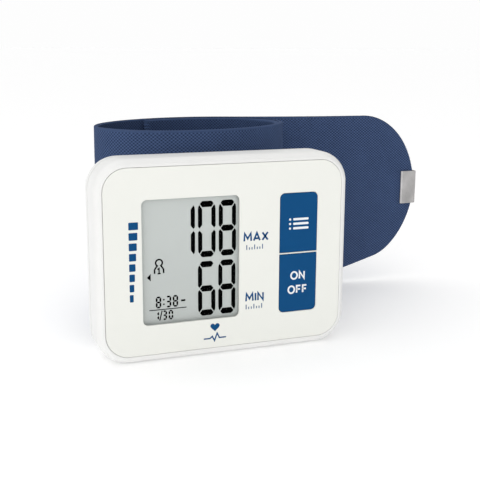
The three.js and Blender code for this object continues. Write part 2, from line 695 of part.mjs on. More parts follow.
function boardParts() {
  const inset = lipInset + SEAT + BOARD_EDGE_GAP / 2;
  const edge = screwInset + BOSS_RADIUS + SEAT;
  const board = { x0: left + inset, x1: right - inset, z0: edge, z1: height - edge };
  add('main_board', tidy(plate(board, BOARD_EDGE_GAP, boardFront, boardBack)), 'board');

  const chip = grown({ x0: 0, x1: 0, z0: teeMiddle, z1: teeMiddle }, CHIP_SIZE / 2);
  add('controller_chip', tidy(plate(chip, 0, mountedDepth, mountedDepth + CHIP_THICK)), 'dark');

  const sensor = {
    x0: sensorRight - SENSOR_SIZE,
    x1: sensorRight,
    z0: teeMiddle - SENSOR_SIZE / 2,
    z1: teeMiddle + SENSOR_SIZE / 2,
  };
  const port = spindle(
    sensorRight - OVERRUN, sensorRight + NOZZLE_LENGTH, sensorPortDepth, teeMiddle, NOZZLE_RADIUS,
  );
  const sensorBody = toSolid(plate(sensor, 0, mountedDepth, mountedDepth + SENSOR_HEIGHT));
  add('pressure_sensor', toGeometry(joined(sensorBody, port)), 'dark');

  const buzzer = bar(
    sensorRight - SENSOR_SIZE / 2, valveBottom + BUZZER_RADIUS, BUZZER_RADIUS,
    mountedDepth, mountedDepth + BUZZER_HEIGHT,
  );
  add('buzzer', tidy(buzzer), 'dark');
}

// Air parts

function pump() {
  const motor = spindle(motorLeft, motorLeft + MOTOR_LENGTH, pumpDepth, pumpHeight, pumpRadius);
  add('pump_motor', tidy(motor), 'metal');
  const head = joined(
    toSolid(spindle(headLeft, headLeft + PUMP_HEAD_LENGTH, pumpDepth, pumpHeight, pumpRadius)),
    post(airX, pumpDepth, NOZZLE_RADIUS, pumpHeight, pumpTop + NOZZLE_LENGTH),
  );
  add('pump_head', toGeometry(head), 'dark');
}

function valveAndTee() {
  const half = VALVE_SIZE / 2;
  const body = {
    x0: airX - half, x1: airX + half, z0: valveBottom, z1: valveBottom + VALVE_LENGTH,
  };
  const valve = joined(
    toSolid(plate(body, 0, pumpDepth - half, pumpDepth + half)),
    post(airX, pumpDepth, NOZZLE_RADIUS, valveBottom - NOZZLE_LENGTH, valveBottom + OVERRUN),
  );
  add('exhaust_valve', toGeometry(valve), 'dark');

  const teeRect = { x0: teeLeft, x1: teeLeft + TEE_SIZE, z0: teeBottom, z1: teeTop };
  const teeBack = pumpDepth + TEE_SIZE / 2;
  const tee = joined(
    toSolid(plate(teeRect, 0, pumpDepth - TEE_SIZE / 2, teeBack)),
    post(airX, pumpDepth, NOZZLE_RADIUS, teeBottom - NOZZLE_LENGTH, teeTop + NOZZLE_LENGTH),
    spindle(teeLeft - NOZZLE_LENGTH, airX, pumpDepth, teeMiddle, NOZZLE_RADIUS),
    bar(airX, teeMiddle, NOZZLE_RADIUS, pumpDepth, (teeBack + innerBack) / 2 - SEAT),
  );
  add('air_tee', toGeometry(tee), 'shell');
}

// Hose with its bore along a curve.
function hose(name, points, steps) {
  const path = points.length > 2 ? new THREE.CatmullRomCurve3(points) : new THREE.LineCurve3(...points);
  const first = path.getPoint(0).addScaledVector(path.getTangent(0), -OVERRUN);
  const last = path.getPoint(1).addScaledVector(path.getTangent(1), OVERRUN);
  const longPoints = [first, ...path.getPoints(steps), last];
  const longPath = new THREE.CatmullRomCurve3(longPoints);
  const tube = (radius, curve, count) => new THREE.ExtrudeGeometry(circle(radius, HOSE_STEPS), {
    steps: count, extrudePath: curve, bevelEnabled: false,
  });
  const solid = cutBy(toSolid(tube(HOSE_RADIUS, path, steps)), tube(hoseBore, longPath, steps + 2));
  add(name, toGeometry(solid), 'silicone');
}

function hoses() {
  const at = (x, d, z) => new THREE.Vector3(x, face + d, z);
  hose('hose_pump', [at(airX, pumpDepth, pumpTop + SEAT), at(airX, pumpDepth, teeBottom - SEAT)], 1);
  hose('hose_valve', [at(airX, pumpDepth, teeTop + SEAT), at(airX, pumpDepth, valveBottom - SEAT)], 1);
  const teeBack = pumpDepth + TEE_SIZE / 2;
  hose('hose_cuff', [at(airX, teeBack + SEAT, teeMiddle), at(airX, innerBack, teeMiddle)], 1);
  const x0 = teeLeft - SEAT;
  const x1 = sensorRight + SEAT;
  const step = NOZZLE_LENGTH;
  hose('hose_sensor', [
    at(x0, pumpDepth, teeMiddle),
    at(x0 - step, pumpDepth, teeMiddle),
    at(x1 + step, sensorPortDepth, teeMiddle),
    at(x1, sensorPortDepth, teeMiddle),
  ], BEND_STEPS);
}

// Cells and contacts

function cells() {
  const shoulder = CELL_LENGTH - CELL_NUB_LENGTH;
  const profile = [
    [0, 0],
    [cellRadius - CELL_EDGE, 0],
    [cellRadius, CELL_EDGE],
    [cellRadius, shoulder - CELL_EDGE],
    [cellRadius - CELL_EDGE, shoulder],
    [CELL_NUB_RADIUS, shoulder],
    [CELL_NUB_RADIUS, CELL_LENGTH],
    [0, CELL_LENGTH],
  ];
  cellX.forEach((x, i) => {
    const up = i === 0;
    const cell = turned(profile).rotateX(up ? Math.PI / 2 : -Math.PI / 2);
    const foot = CONTACT_THICK + SPRING_LENGTH + SEAT;
    cell.translate(x, face + cellDepth, up ? bayBottom + foot : bayTop - foot);
    add(`battery_${i + 1}`, tidy(cell), 'cell');
    contacts(i + 1, x, up);
  });
}

function contacts(number, x, up) {
  const half = CONTACT_SIZE / 2;
  const sheet = (z0) => plate(
    { x0: x - half, x1: x + half, z0, z1: z0 + CONTACT_THICK }, 0, cellDepth - half, cellDepth + half,
  );
  const springEnd = up ? bayBottom : bayTop - CONTACT_THICK;
  const plainEnd = up ? bayTop - CONTACT_THICK : bayBottom;
  add(`contact_plate_${number}`, tidy(sheet(plainEnd)), 'metal');

  const way = up ? 1 : -1;
  const root = up ? bayBottom + CONTACT_THICK : bayTop - CONTACT_THICK;
  const count = SPRING_TURNS * COIL_STEPS;
  const rise = SPRING_LENGTH - SPRING_WIRE_RADIUS;
  const points = Array.from({ length: count + 1 }, (_, i) => {
    const share = i / count;
    const angle = share * SPRING_TURNS * 2 * Math.PI;
    const radius = SPRING_BASE_RADIUS + (SPRING_TIP_RADIUS - SPRING_BASE_RADIUS) * share;
    return new THREE.Vector3(
      x + radius * Math.cos(angle), face + cellDepth + radius * Math.sin(angle), root + way * rise * share,
    );
  });
  const wire = circle(SPRING_WIRE_RADIUS, WIRE_SIDES);
  const coil = new THREE.ExtrudeGeometry(wire, {
    steps: count, extrudePath: new THREE.CatmullRomCurve3(points), bevelEnabled: false,
  });
  add(`contact_spring_${number}`, toGeometry(joined(toSolid(sheet(springEnd)), coil)), 'metal');
}

// Cuff

// Place and inward normal on the outer skin of the oval, at an angle in degrees.
function ovalStation(angle, inward = 0) {
  const t = THREE.MathUtils.degToRad(angle);
  const origin = new THREE.Vector2();
  const place = new THREE.Vector2(LOOP_LONG * Math.cos(t), LOOP_SHORT * Math.sin(t));
  const way = new THREE.Vector2(-LOOP_LONG * Math.sin(t), LOOP_SHORT * Math.cos(t)).normalize();
  const normal = new THREE.Vector2(-way.y, way.x).rotateAround(origin, turn);
  place.rotateAround(origin, turn).add(loopMiddle).addScaledVector(normal, inward);
  return { place, normal, low: 0, high: CUFF_WIDTH };
}

// Inner end of the cuff draws in to lie under the strap.
function cuffStation(angle) {
  const share = THREE.MathUtils.smoothstep(angle, WRAP_START, WRAP_END);
  return ovalStation(angle, wrap * share);
}

function angles(start, end) {
  const count = Math.ceil(Math.abs(end - start) / LOOP_STEP);
  return Array.from({ length: count + 1 }, (_, i) => start + (end - start) * i / count);
}

// Band between two depths under the skin, with its edges drawn in by an inset.
function band(stations, from, to, inset) {
  return skin(stations.map(({ place, normal, low, high }) => {
    const outer = place.clone().addScaledVector(normal, from);
    const inner = place.clone().addScaledVector(normal, to);
    const bottom = low + inset;
    const top = high - inset;
    return [
      new THREE.Vector3(outer.x, outer.y, bottom),
      new THREE.Vector3(outer.x, outer.y, top),
      new THREE.Vector3(inner.x, inner.y, top),
      new THREE.Vector3(inner.x, inner.y, bottom),
    ];
  }));
}

// Straight rise from nothing with a soft start.
function softRise(value) {
  return value > TONGUE_SOFT ? value : Math.max(value + TONGUE_SOFT, 0) ** 2 / (4 * TONGUE_SOFT);
}

// Upper and lower edge of the tongue, at a distance from its tip.
function tongueEdges(fromTip) {
  const round = (length) => Math.sqrt(1 - (Math.max(length - fromTip, 0) / length) ** 2);
  const base = TONGUE_STEP * softRise(1 - fromTip / TONGUE_TAPER);
  return {
    low: TONGUE_MIDDLE - (TONGUE_MIDDLE - base) * round(TONGUE_UNDER),
    high: TONGUE_MIDDLE + (CUFF_WIDTH - TONGUE_MIDDLE) * round(TONGUE_NOSE),
  };
}

const leave = ovalStation(LEAVE_ANGLE);
const leaveWay = new THREE.Vector2(-leave.normal.y, leave.normal.x);
const tip = leave.place.clone().add(new THREE.Vector2(TAIL_SPAN, -TAIL_DROP));
const tailCurve = new THREE.CubicBezierCurve(
  leave.place,
  leave.place.clone().addScaledVector(leaveWay, TAIL_LEAD),
  tip.clone().sub(new THREE.Vector2(TAIL_RUN, 0)),
  tip,
);

function tailStations() {
  const length = tailCurve.getLength();
  const nose = Array.from({ length: NOSE_STEPS + 1 }, (_, i) => (
    TONGUE_TIP + (TONGUE_NOSE - TONGUE_TIP) * (1 - Math.cos(i / NOSE_STEPS * Math.PI / 2))
  ));
  const plain = Array.from({ length: TAIL_STEPS - 1 }, (_, i) => (
    TONGUE_NOSE + (length - TONGUE_NOSE) * (i + 1) / TAIL_STEPS
  ));
  return [...plain.reverse(), ...nose.reverse()].map((fromTip) => {
    const share = 1 - fromTip / length;
    const way = tailCurve.getTangentAt(share);
    return {
      place: tailCurve.getPointAt(share),
      normal: new THREE.Vector2(way.y, -way.x),
      ...tongueEdges(fromTip),
    };
  });
}

const gapAngle = THREE.MathUtils.radToDeg(HINGE_GAP / 2 / LOOP_SHORT);
const liningFrom = CLOTH + LAYER_GAP;

function cuffLayers() {
  const start = HINGE_ANGLE + gapAngle;
  const around = angles(start, innerEnd).map(cuffStation);
  const portHole = bar(airX, teeMiddle, PORT_RADIUS + SEAT, depth, depth + LOOP_SHORT / 2);
  const cover = cutBy(toSolid(band(around, 0, CLOTH, 0)), portHole);
  add('cuff_cover', toGeometry(cover), 'cloth');
  add('cuff_lining', band(around, layerCuff - LINING, layerCuff, LINING_INSET), 'lining');

  const fill = [liningFrom, liningFrom + BLADDER];
  const bladder = angles(BLADDER_START, WRAP_START).map(cuffStation);
  add('air_bladder', band(bladder, ...fill, BLADDER_INSET), 'dark');
  const stiffener = angles(WRAP_START + LOOP_STEP, innerEnd).map(cuffStation);
  add('cuff_stiffener', band(stiffener, ...fill, LINING_INSET), 'shell');

  const hookFrom = layerStrap + HOOK_GAP;
  const hook = angles(hookStart, hookEnd).map((angle) => ovalStation(angle));
  add('hook_patch', band(hook, hookFrom, hookFrom + HOOK, HOOK_INSET), 'hook');
}

function strap() {
  const loop = angles(HINGE_ANGLE - gapAngle, LEAVE_ANGLE).map((angle) => ovalStation(angle));
  const stations = [...loop, ...tailStations()];
  add('strap_cover', band(stations, 0, CLOTH, 0), 'cloth');
  add('strap_lining', band(stations, liningFrom, layerStrap, LINING_INSET), 'lining');

  const back = tip.y + TAB_GAP + TAB_THICK;
  const front = tip.y - layerStrap - TAB_GAP - TAB_THICK;
  const fold = [
    [tip.x - TAB_LAP, front], [tip.x + TAB_PROUD, front], [tip.x + TAB_PROUD, back], [tip.x - TAB_LAP, back],
    [tip.x - TAB_LAP, back - TAB_THICK], [tip.x + TAB_PROUD - TAB_THICK, back - TAB_THICK],
    [tip.x + TAB_PROUD - TAB_THICK, front + TAB_THICK], [tip.x - TAB_LAP, front + TAB_THICK],
  ].map(([x, y]) => new THREE.Vector2(x, y));
  const tab = prism(fold, TONGUE_MIDDLE - TAB_WIDTH / 2, TONGUE_MIDDLE + TAB_WIDTH / 2);
  add('pull_tab', tidy(tab), 'tab');
}

// Plate between the rear cover and the cuff: flat in front, hollowed behind to seat the oval.
function cuffPlate() {
  const oval = angles(180, 360).map((angle) => ovalStation(angle, -SEAT).place);
  const hollow = [...oval, new THREE.Vector2(LOOP_SHIFT, loopMiddle.y)];
  const rect = { x0: -PLATE_LEFT, x1: plateRight, z0: plateBottom, z1: plateTop };
  let saddle = cutBy(
    toSolid(plate(rect, PLATE_CORNER, plateFront, plateFront + LOOP_SHORT / 2)),
    prism(hollow, -OVERRUN, CUFF_WIDTH + OVERRUN),
    bar(airX, teeMiddle, PORT_RADIUS + SEAT, depth, depth + LOOP_SHORT),
  );
  for (const [x, z] of plateScrewPlaces) {
    const end = plateFront + PLATE_SCREW_BITE + SEAT;
    saddle = cutBy(saddle, bar(x, z, SCREW_RADIUS + SCREW_GAP, depth, end));
  }
  add('cuff_plate', toGeometry(saddle), 'shell');

  const length = SEAT + WALL + SEAT + PLATE_SCREW_BITE;
  const profile = [
    [0, 0],
    [SCREW_HEAD_RADIUS, 0],
    [SCREW_HEAD_RADIUS, SCREW_HEAD_HEIGHT],
    [SCREW_RADIUS, SCREW_HEAD_HEIGHT],
    [SCREW_RADIUS, SCREW_HEAD_HEIGHT + length],
    [0, SCREW_HEAD_HEIGHT + length],
  ];
  plateScrewPlaces.forEach(([x, z], i) => {
    const y = face + innerBack - SEAT - SCREW_HEAD_HEIGHT;
    add(`plate_screw_${i + 1}`, tidy(turned(profile, HOSE_STEPS).translate(x, y, z)), 'metal');
  });

  const slope = oval.filter((point) => Math.abs(point.x - airX) < LOOP_STEP);
  const portEnd = Math.min(...slope.map((point) => point.y)) - face + CLOTH;
  const nippleFront = (pumpDepth + TEE_SIZE / 2 + innerBack) / 2 + SEAT / 2;
  const port = joined(
    toSolid(bar(airX, teeMiddle, NOZZLE_RADIUS, nippleFront, portEnd)),
    bar(airX, teeMiddle, PORT_RADIUS, innerBack + SEAT, portEnd),
  );
  add('cuff_port', toGeometry(port), 'shell');
}

const rear = rearShell();
frontCover();
facePanel();
displayStack();
keyPair();
boardParts();
pump();
valveAndTee();
hoses();
cells();
rearCover(rear);
batteryDoor(rear);
caseScrews();
cuffPlate();
cuffLayers();
strap();

export default monitor;
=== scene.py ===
"""Looks of a wrist blood pressure monitor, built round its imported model.

Laid out as an add-on: sizes and colours are properties, and each group of pieces is an operator.
Metres, in the model's own frame: X to the right of the display, Y towards the back, Z up.
"""

import functools
import math

import bmesh
import bpy
import numpy as np
from bpy.props import FloatProperty, FloatVectorProperty, PointerProperty
from mathutils import Matrix, Vector


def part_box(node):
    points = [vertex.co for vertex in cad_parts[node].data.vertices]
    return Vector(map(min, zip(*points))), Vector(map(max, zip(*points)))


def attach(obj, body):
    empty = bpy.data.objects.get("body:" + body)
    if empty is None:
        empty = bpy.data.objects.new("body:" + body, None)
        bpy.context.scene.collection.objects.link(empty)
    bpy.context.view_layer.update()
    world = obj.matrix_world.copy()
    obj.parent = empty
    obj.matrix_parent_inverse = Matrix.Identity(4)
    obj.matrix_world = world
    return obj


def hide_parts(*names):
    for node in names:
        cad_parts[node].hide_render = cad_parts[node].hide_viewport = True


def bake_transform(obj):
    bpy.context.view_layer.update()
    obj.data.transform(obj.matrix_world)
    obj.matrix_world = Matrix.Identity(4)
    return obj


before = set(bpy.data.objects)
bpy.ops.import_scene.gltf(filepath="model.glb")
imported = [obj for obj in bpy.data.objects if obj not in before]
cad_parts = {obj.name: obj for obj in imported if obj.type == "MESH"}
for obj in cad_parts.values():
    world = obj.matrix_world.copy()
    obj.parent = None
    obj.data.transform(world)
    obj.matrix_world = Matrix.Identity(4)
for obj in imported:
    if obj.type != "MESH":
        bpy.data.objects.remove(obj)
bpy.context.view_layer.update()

bl_info = {
    "name": "Wrist blood pressure monitor",
    "version": (1, 0, 0),
    "blender": (4, 5, 0),
    "location": "3D View > Sidebar > Monitor",
    "description": "Builds the looks of a wrist blood pressure monitor round its packed model",
    "category": "Object",
}

MM = 0.001
MERGE = 0.001 * MM

# Casing, as in the solids
CASE_LOW, CASE_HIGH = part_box("front_cover")
PANEL_LOW, PANEL_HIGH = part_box("face_panel")
DOOR_LOW, DOOR_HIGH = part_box("battery_door")
REAR_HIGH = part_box("rear_cover")[1]
LENS_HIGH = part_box("display_lens")[1]
GLASS_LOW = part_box("lcd_glass")[0]
FACE = CASE_LOW.y
SEAT = 0.25 * MM
FIT = 0.25 * MM
WALL = 1.8 * MM
LEDGE = 1.6 * MM
BEZEL_LAND = 0.3 * MM
PARTING_GAP = 0.3 * MM
LIP_DEPTH = 1.2 * MM
LIP_WALL = 0.9 * MM
GLASS_LAP = 1.2 * MM
LENS_LAP = 2.6 * MM
WINDOW_CORNER = 1.7 * MM
KEY_LIP = 1.2 * MM
KEY_LIP_THICK = 1.0 * MM
KEY_GAP = 0.15 * MM
KEY_CORNER = 1.7 * MM
BAY_WALL = 1.2 * MM
DOOR_TAB_REACH = 2.4 * MM
DOOR_TAB_ROOT = 1.4 * MM
DOOR_TAB_THICK = 1.0 * MM
DOOR_TAB_WIDTH = 6.0 * MM
RIDGE_PROUD = 0.4 * MM
RIDGE_PITCH = 2.2 * MM
RIDGE_LENGTH = 14.0 * MM
RIDGE_COUNT = 5
SCREW_RADIUS = 1.1 * MM
SCREW_HEAD_RADIUS = 2.0 * MM
SCREW_HEAD_HEIGHT = 1.5 * MM
SCREW_GAP = 0.15 * MM
CASE_SCREWS = [f"case_screw_{number}" for number in range(1, 5)]
INK_DEPTH = 0.04 * MM

# Facets
CORNER_STEPS = 18
HOLE_STEPS = 6
WINDOW_STEPS = 8
CAP_STEPS = 10
EDGE_STEPS = 10
NICK_STEPS = 3
REAR_STEPS = 16
ROUND_STEPS = 40
SCREW_STEPS = 24
SMOOTH_ANGLE = math.radians(32)
SOFT_ANGLE = math.radians(60)

# Cuff and strap, as in the solids
CUFF_LOW, CUFF_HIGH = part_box("cuff_cover")
CUFF_WIDTH = CUFF_HIGH.z
CUFF_THICK = 3.0 * MM
STRAP_THICK = 1.9 * MM
HOOK_FROM = 2.2 * MM
HOOK_INSET = 8.0 * MM
BLADDER_INSET = 6.2 * MM
WRAP = 3.5 * MM
TAIL_SPAN = 82.85 * MM
TAIL_DROP = 13.5 * MM
TAIL_LEAD = 26.0 * MM
TAIL_RUN = 40.0 * MM
TONGUE_NOSE = 24.0 * MM
TONGUE_UNDER = 17.5 * MM
TONGUE_MIDDLE = 39.2 * MM
TONGUE_STEP = 15.8 * MM
TONGUE_TAPER = 49.6 * MM
TONGUE_SOFT = 0.2
TAB_LOW, TAB_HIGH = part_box("pull_tab")
TAB_THICK = 0.6 * MM

# Places round the oval, in degrees from the right end of its long axis, by way of the back
LEAVE = 45
THIN_START, THIN_END = 182, 158
SPLIT = 192
BLADDER_START, BLADDER_END = 207, 343
WRAP_START, WRAP_END = 345, 400
HOOK_START, HOOK_END = 410, 450
INNER_END = 460
STIFF_START, STIFF_END = WRAP_START + 4, INNER_END - 4

# Camera, solved from the straight edges of the casing in the photograph
CAMERA_PLACE = Vector((-94.6, -263.7, 97.0)) * MM
CAMERA_YAW = math.radians(20.90)
CAMERA_PITCH = math.radians(12.20)
CAMERA_ROLL = math.radians(0.278)
CAMERA_LENS = 67.19
CAMERA_SENSOR = 36.0


def length_property(name, description, millimetres):
    return FloatProperty(name=name, description=description, default=millimetres * MM, unit="LENGTH")


def colour_property(name, description, default):
    return FloatVectorProperty(name=name, description=description, default=default, subtype="COLOR")


def glow_property(name, description, default):
    return FloatProperty(name=name, description=description, default=default)


class CasingLook(bpy.types.PropertyGroup):
    """Sizes and colours of the casing, its panel and its keys."""

    corner_radius: length_property("Corner radius", "Corners of the casing, from the front", 10.0)
    edge_width: length_property("Edge width", "Breadth of the round edge, seen from the front", 2.1)
    edge_depth: length_property("Edge depth", "Depth of the round edge, along the side", 3.2)
    rear_inset: length_property("Rear inset", "How far the rear cover draws in towards its back", 8.0)
    body_colour: colour_property("Body", "Moulded casing", (0.86, 0.86, 0.845))
    panel_colour: colour_property("Panel", "Face panel", (0.87, 0.875, 0.825))
    key_colour: colour_property("Keys and print", "Keys and the marks on the panel", (0.005, 0.073, 0.212))
    legend_colour: colour_property("Key marks", "Marks on the keys", (0.88, 0.9, 0.92))


class DisplayLook(bpy.types.PropertyGroup):
    """Sizes and colours of the display."""

    stroke: length_property("Stroke", "Breadth of the strokes of the large figures", 1.38)
    glass_colour: colour_property("Glass", "Display ground", (0.565, 0.6, 0.583))
    mark_colour: colour_property("Marks", "Figures and signs", (0.0005, 0.0005, 0.0006))


class CuffLook(bpy.types.PropertyGroup):
    """Sizes and colours of the cuff and its strap."""

    loop_long: length_property("Half length", "Half of the oval's length", 37.7)
    loop_short: length_property("Half breadth", "Half of the oval's breadth", 27.7)
    loop_turn: FloatProperty(
        name="Turn", description="Turn of the oval, seen from above",
        default=math.radians(17.8), subtype="ANGLE",
    )
    weave_pitch: length_property("Weave pitch", "Width of one repeat of the weave, along the cuff", 1.35)
    weave_rise: length_property("Weave rise", "Height of one repeat of the weave", 1.1)
    cloth_colour: colour_property("Cloth", "Woven outside", (0.03, 0.048, 0.1))
    # A trace darker than the outside cloth: painted shade for the inside of the loop.
    shaded_lining_colour: colour_property("Lining", "Woven inside", (0.029, 0.047, 0.098))
    tab_colour: colour_property("Pull tab", "Grey tape", (0.475, 0.464, 0.46))


class StageLook(bpy.types.PropertyGroup):
    """Colours and light of the stage."""

    floor_colour: colour_property("Floor", "Plain pale floor", (0.95, 0.95, 0.95))
    floor_glow: glow_property("Floor glow", "Light from within the floor", 0.2)
    zenith_glow: glow_property("Overhead", "Light from overhead", 1.4)
    horizon_glow: glow_property("Horizon", "Light from low down, all round", 1.15)
    paper_glow: glow_property("Backdrop", "Brightness of the plain backdrop, as it is seen", 0.985)
    sky_dim: FloatProperty(
        name="Flag", description="How far the light from the right is dimmed",
        default=0.9, subtype="FACTOR",
    )
    key_power: FloatProperty(
        name="Key light", description="Large soft light over the left shoulder",
        default=3.2, unit="POWER",
    )


# Material graphs


def add_node(tree, kind, settings=None, sockets=None):
    """Adds a node: its settings first, then the values or links of its sockets."""
    made = tree.nodes.new(kind)
    for name, value in (settings or {}).items():
        setattr(made, name, value)
    for key, value in (sockets or {}).items():
        if isinstance(value, bpy.types.NodeSocket):
            tree.links.new(value, made.inputs[key])
        else:
            made.inputs[key].default_value = value
    return made


def arithmetic(operation):
    """An operator and its reflected form, as methods that add a Math node."""
    return (
        lambda self, other: self.math(operation, self, other),
        lambda self, other: self.math(operation, other, self),
    )


class Value:
    """A socket of a material's graph. Arithmetic on it adds Math nodes."""

    def __init__(self, graph, socket):
        self.graph = graph
        self.socket = socket

    def math(self, operation, first, second=0.0):
        return self.graph.node("ShaderNodeMath", {"operation": operation}, {0: first, 1: second})

    __add__, __radd__ = arithmetic("ADD")
    __sub__, __rsub__ = arithmetic("SUBTRACT")
    __mul__, __rmul__ = arithmetic("MULTIPLY")
    __truediv__, __rtruediv__ = arithmetic("DIVIDE")
    __pow__, __rpow__ = arithmetic("POWER")

    def wave(self, length):
        """Sine of this socket, with a wavelength."""
        return self.math("SINE", self * (2 * math.pi / length))

    def above(self, limit):
        return self.math("GREATER_THAN", self, limit)

    def most(self, other):
        return self.math("MAXIMUM", self, other)


class Graph:
    """The node tree of one material or world."""

    def __init__(self, name, store=bpy.data.materials):
        self.material = store.new(name)
        self.material.use_nodes = True
        self.tree = self.material.node_tree
        self.tree.nodes.clear()

    def node(self, kind, settings=None, sockets=None, output=0):
        """Adds a node, its sockets given as plain values or as results of other nodes."""
        plain = {key: getattr(value, "socket", value) for key, value in (sockets or {}).items()}
        made = add_node(self.tree, kind, settings, plain)
        return Value(self, made.outputs[output]) if len(made.outputs) else None

    def place(self):
        return self.node("ShaderNodeTexCoord", output="Object")

    def noise(self, size, detail=2.0, at=None):
        return self.node(
            "ShaderNodeTexNoise", None,
            {"Vector": at or self.place(), "Scale": 1 / size, "Detail": detail, "Roughness": 0.55},
        )

    def axes(self, vector):
        split = self.node("ShaderNodeSeparateXYZ", None, {"Vector": vector})
        return [Value(self, socket) for socket in split.socket.node.outputs]

    def mixed(self, share, low, high):
        sockets = {0: share, 6: rgba(low), 7: rgba(high)}
        return self.node("ShaderNodeMix", {"data_type": "RGBA"}, sockets, output=2)

    def tinted(self, share, colour, low, high):
        """One colour between two strengths of it."""
        return self.mixed(share, *(tuple(channel * level for channel in colour) for level in (low, high)))

    def bump(self, height, distance):
        return self.node("ShaderNodeBump", None, {"Height": height, "Distance": distance, "Strength": 1.0})

    def surface(self, **sockets):
        named = {name.replace("_", " "): value for name, value in sockets.items()}
        shader = self.node("ShaderNodeBsdfPrincipled", None, named)
        self.node("ShaderNodeOutputMaterial", None, {"Surface": shader})
        return self.material


def rgba(colour):
    return colour if isinstance(colour, Value) else (*colour, 1.0)


def uneven(level, spread, noise):
    return level + spread * (noise - 0.5)


def once(make):
    """A material is made when its name is first asked for, and shared after that."""

    @functools.wraps(make)
    def shared(name, *given, **settings):
        return bpy.data.materials.get(name) or make(name, *given, **settings)

    return shared


# Sizes of the patches, lines and threads in the finishes
CLOUD, GLOSS_PATCH = 9.0 * MM, 3.0 * MM
INK_PATCH = 0.5 * MM
DRAWN_LINE, DRAWN_DEPTH, DRAWN_STRETCH = 0.15 * MM, 0.004 * MM, 0.06
YARN, SLUB = 0.35 * MM, 6.0 * MM
NAP_PATCH = 5.0 * MM
DISPLAY_CELL, DISPLAY_CLOUD, DISPLAY_GRAIN = 0.3 * MM, 14.0 * MM, 0.001 * MM
LENS_HAZE = 7.0 * MM
TRACK_PITCH, TRACK_ROW, TRACK_BEND, TRACK_SWAY = 1.3 * MM, 2.6 * MM, 4.0 * MM, 2.2 * MM
TRACK_DEPTH, BOARD_PATCH = 0.02 * MM, 2.0 * MM
FLOOR_CLOUD = 0.4


@once
def moulded(name, colour, roughness=0.35, grain=0.25 * MM, depth=0.006 * MM, mottle=0.03, **extra):
    """Moulded plastic: faint mottling, uneven gloss and a fine spark-eroded grain."""
    graph = Graph(name)
    return graph.surface(
        Base_Color=graph.tinted(graph.noise(CLOUD), colour, 1 - mottle, 1 + mottle),
        Roughness=uneven(roughness, 0.12, graph.noise(GLOSS_PATCH)),
        Normal=graph.bump(graph.noise(grain, detail=1.0), depth),
        **extra,
    )


@once
def printed(name, colour, roughness=0.4, gloss=0.06):
    """Printed ink: slightly uneven in cover and gloss."""
    graph = Graph(name)
    cover = graph.noise(INK_PATCH)
    return graph.surface(
        Base_Color=graph.tinted(cover, colour, 0.92, 1.08),
        Roughness=uneven(roughness, 0.1, cover),
        Specular_IOR_Level=gloss,
    )


@once
def metal(name, colour, roughness=0.28):
    """Plated metal with fine drawn lines."""
    graph = Graph(name)
    stretch = {"Vector": graph.place(), "Scale": (1.0, 1.0, DRAWN_STRETCH)}
    lines = graph.noise(DRAWN_LINE, at=graph.node("ShaderNodeMapping", None, stretch))
    return graph.surface(
        Base_Color=graph.tinted(lines, colour, 0.88, 1.08),
        Roughness=uneven(roughness, 0.2, lines),
        Metallic=1.0,
        Normal=graph.bump(lines, DRAWN_DEPTH),
    )


@once
def woven(name, colour, repeat, depth=0.12 * MM, contrast=0.85, tones=(0.05, 2.45), painted_highlight=0.0, rim=0.0):
    """Woven cloth: crossing diagonal ribs on the piece's own flat cut, with slubs and sheen.

    The cut is in millimetres. A rim is left plain along both edges, and a painted highlight pales a strip
    at the start of the cut.
    """
    graph = Graph(name)
    across, up, _ = graph.axes(graph.node("ShaderNodeUVMap", {"uv_map": "cut"}))
    rib = across.wave(repeat[0] / MM) * up.wave(repeat[1] / MM)
    if rim:
        rib = rib * (up.above(rim / MM) - up.above((CUFF_WIDTH - rim) / MM))
    height = rib * 0.5 + 0.35 * graph.noise(YARN, detail=1.0) + 0.5
    tone = height * contrast + graph.noise(SLUB) * (1 - contrast)
    # Painted highlight: a paler strip along the start of the cut, standing in for its edge catching the
    # light.
    if painted_highlight:
        tone = tone + 0.25 * (1 - across.above(painted_highlight / MM))
    return graph.surface(
        Base_Color=graph.tinted(tone, colour, *tones),
        Roughness=0.92 - 0.1 * height,
        Normal=graph.bump(height, depth),
        Sheen_Weight=0.03,
        Sheen_Roughness=0.45,
        Sheen_Tint=(0.55, 0.65, 0.9, 1.0),
        Specular_IOR_Level=0.03,
    )


@once
def brushed(name, colour, size, depth):
    """Brushed pile: a short fuzzy nap that varies at random, with painted shade that darkens its hollows.
    """
    graph = Graph(name)
    nap = graph.noise(size, detail=3.0)
    return graph.surface(
        # Colour follows the nap's height: random tone, and painted shade where the nap is lowest.
        Base_Color=graph.tinted(nap * 0.7 + graph.noise(NAP_PATCH) * 0.3, colour, 0.45, 1.55),
        Roughness=0.95 - 0.08 * nap,
        Normal=graph.bump(nap, depth),
        Sheen_Weight=0.25,
        Sheen_Roughness=0.5,
        Sheen_Tint=(0.6, 0.68, 0.9, 1.0),
        Specular_IOR_Level=0.2,
    )


def display_ground(look):
    """Reflective display: a grey-green with painted shade, darker at the bottom and paler upwards, with
    faint rows of cells.
    """
    graph = Graph("display ground")
    x, _, z = graph.axes(graph.place())
    cells = x.wave(DISPLAY_CELL) * z.wave(DISPLAY_CELL)
    cloud = graph.noise(DISPLAY_CLOUD)
    # Painted shade: the ground's colour darkens towards the bottom of the window and pales towards its
    # top.
    rise = (z - WINDOW.z0) / (WINDOW.z1 - WINDOW.z0)
    return graph.surface(
        Base_Color=graph.tinted(cloud * 0.4 + rise * 0.6 + cells * 0.06, look.glass_colour, 0.93, 1.07),
        Roughness=uneven(0.42, 0.08, cloud),
        Normal=graph.bump(cells, DISPLAY_GRAIN),
    )


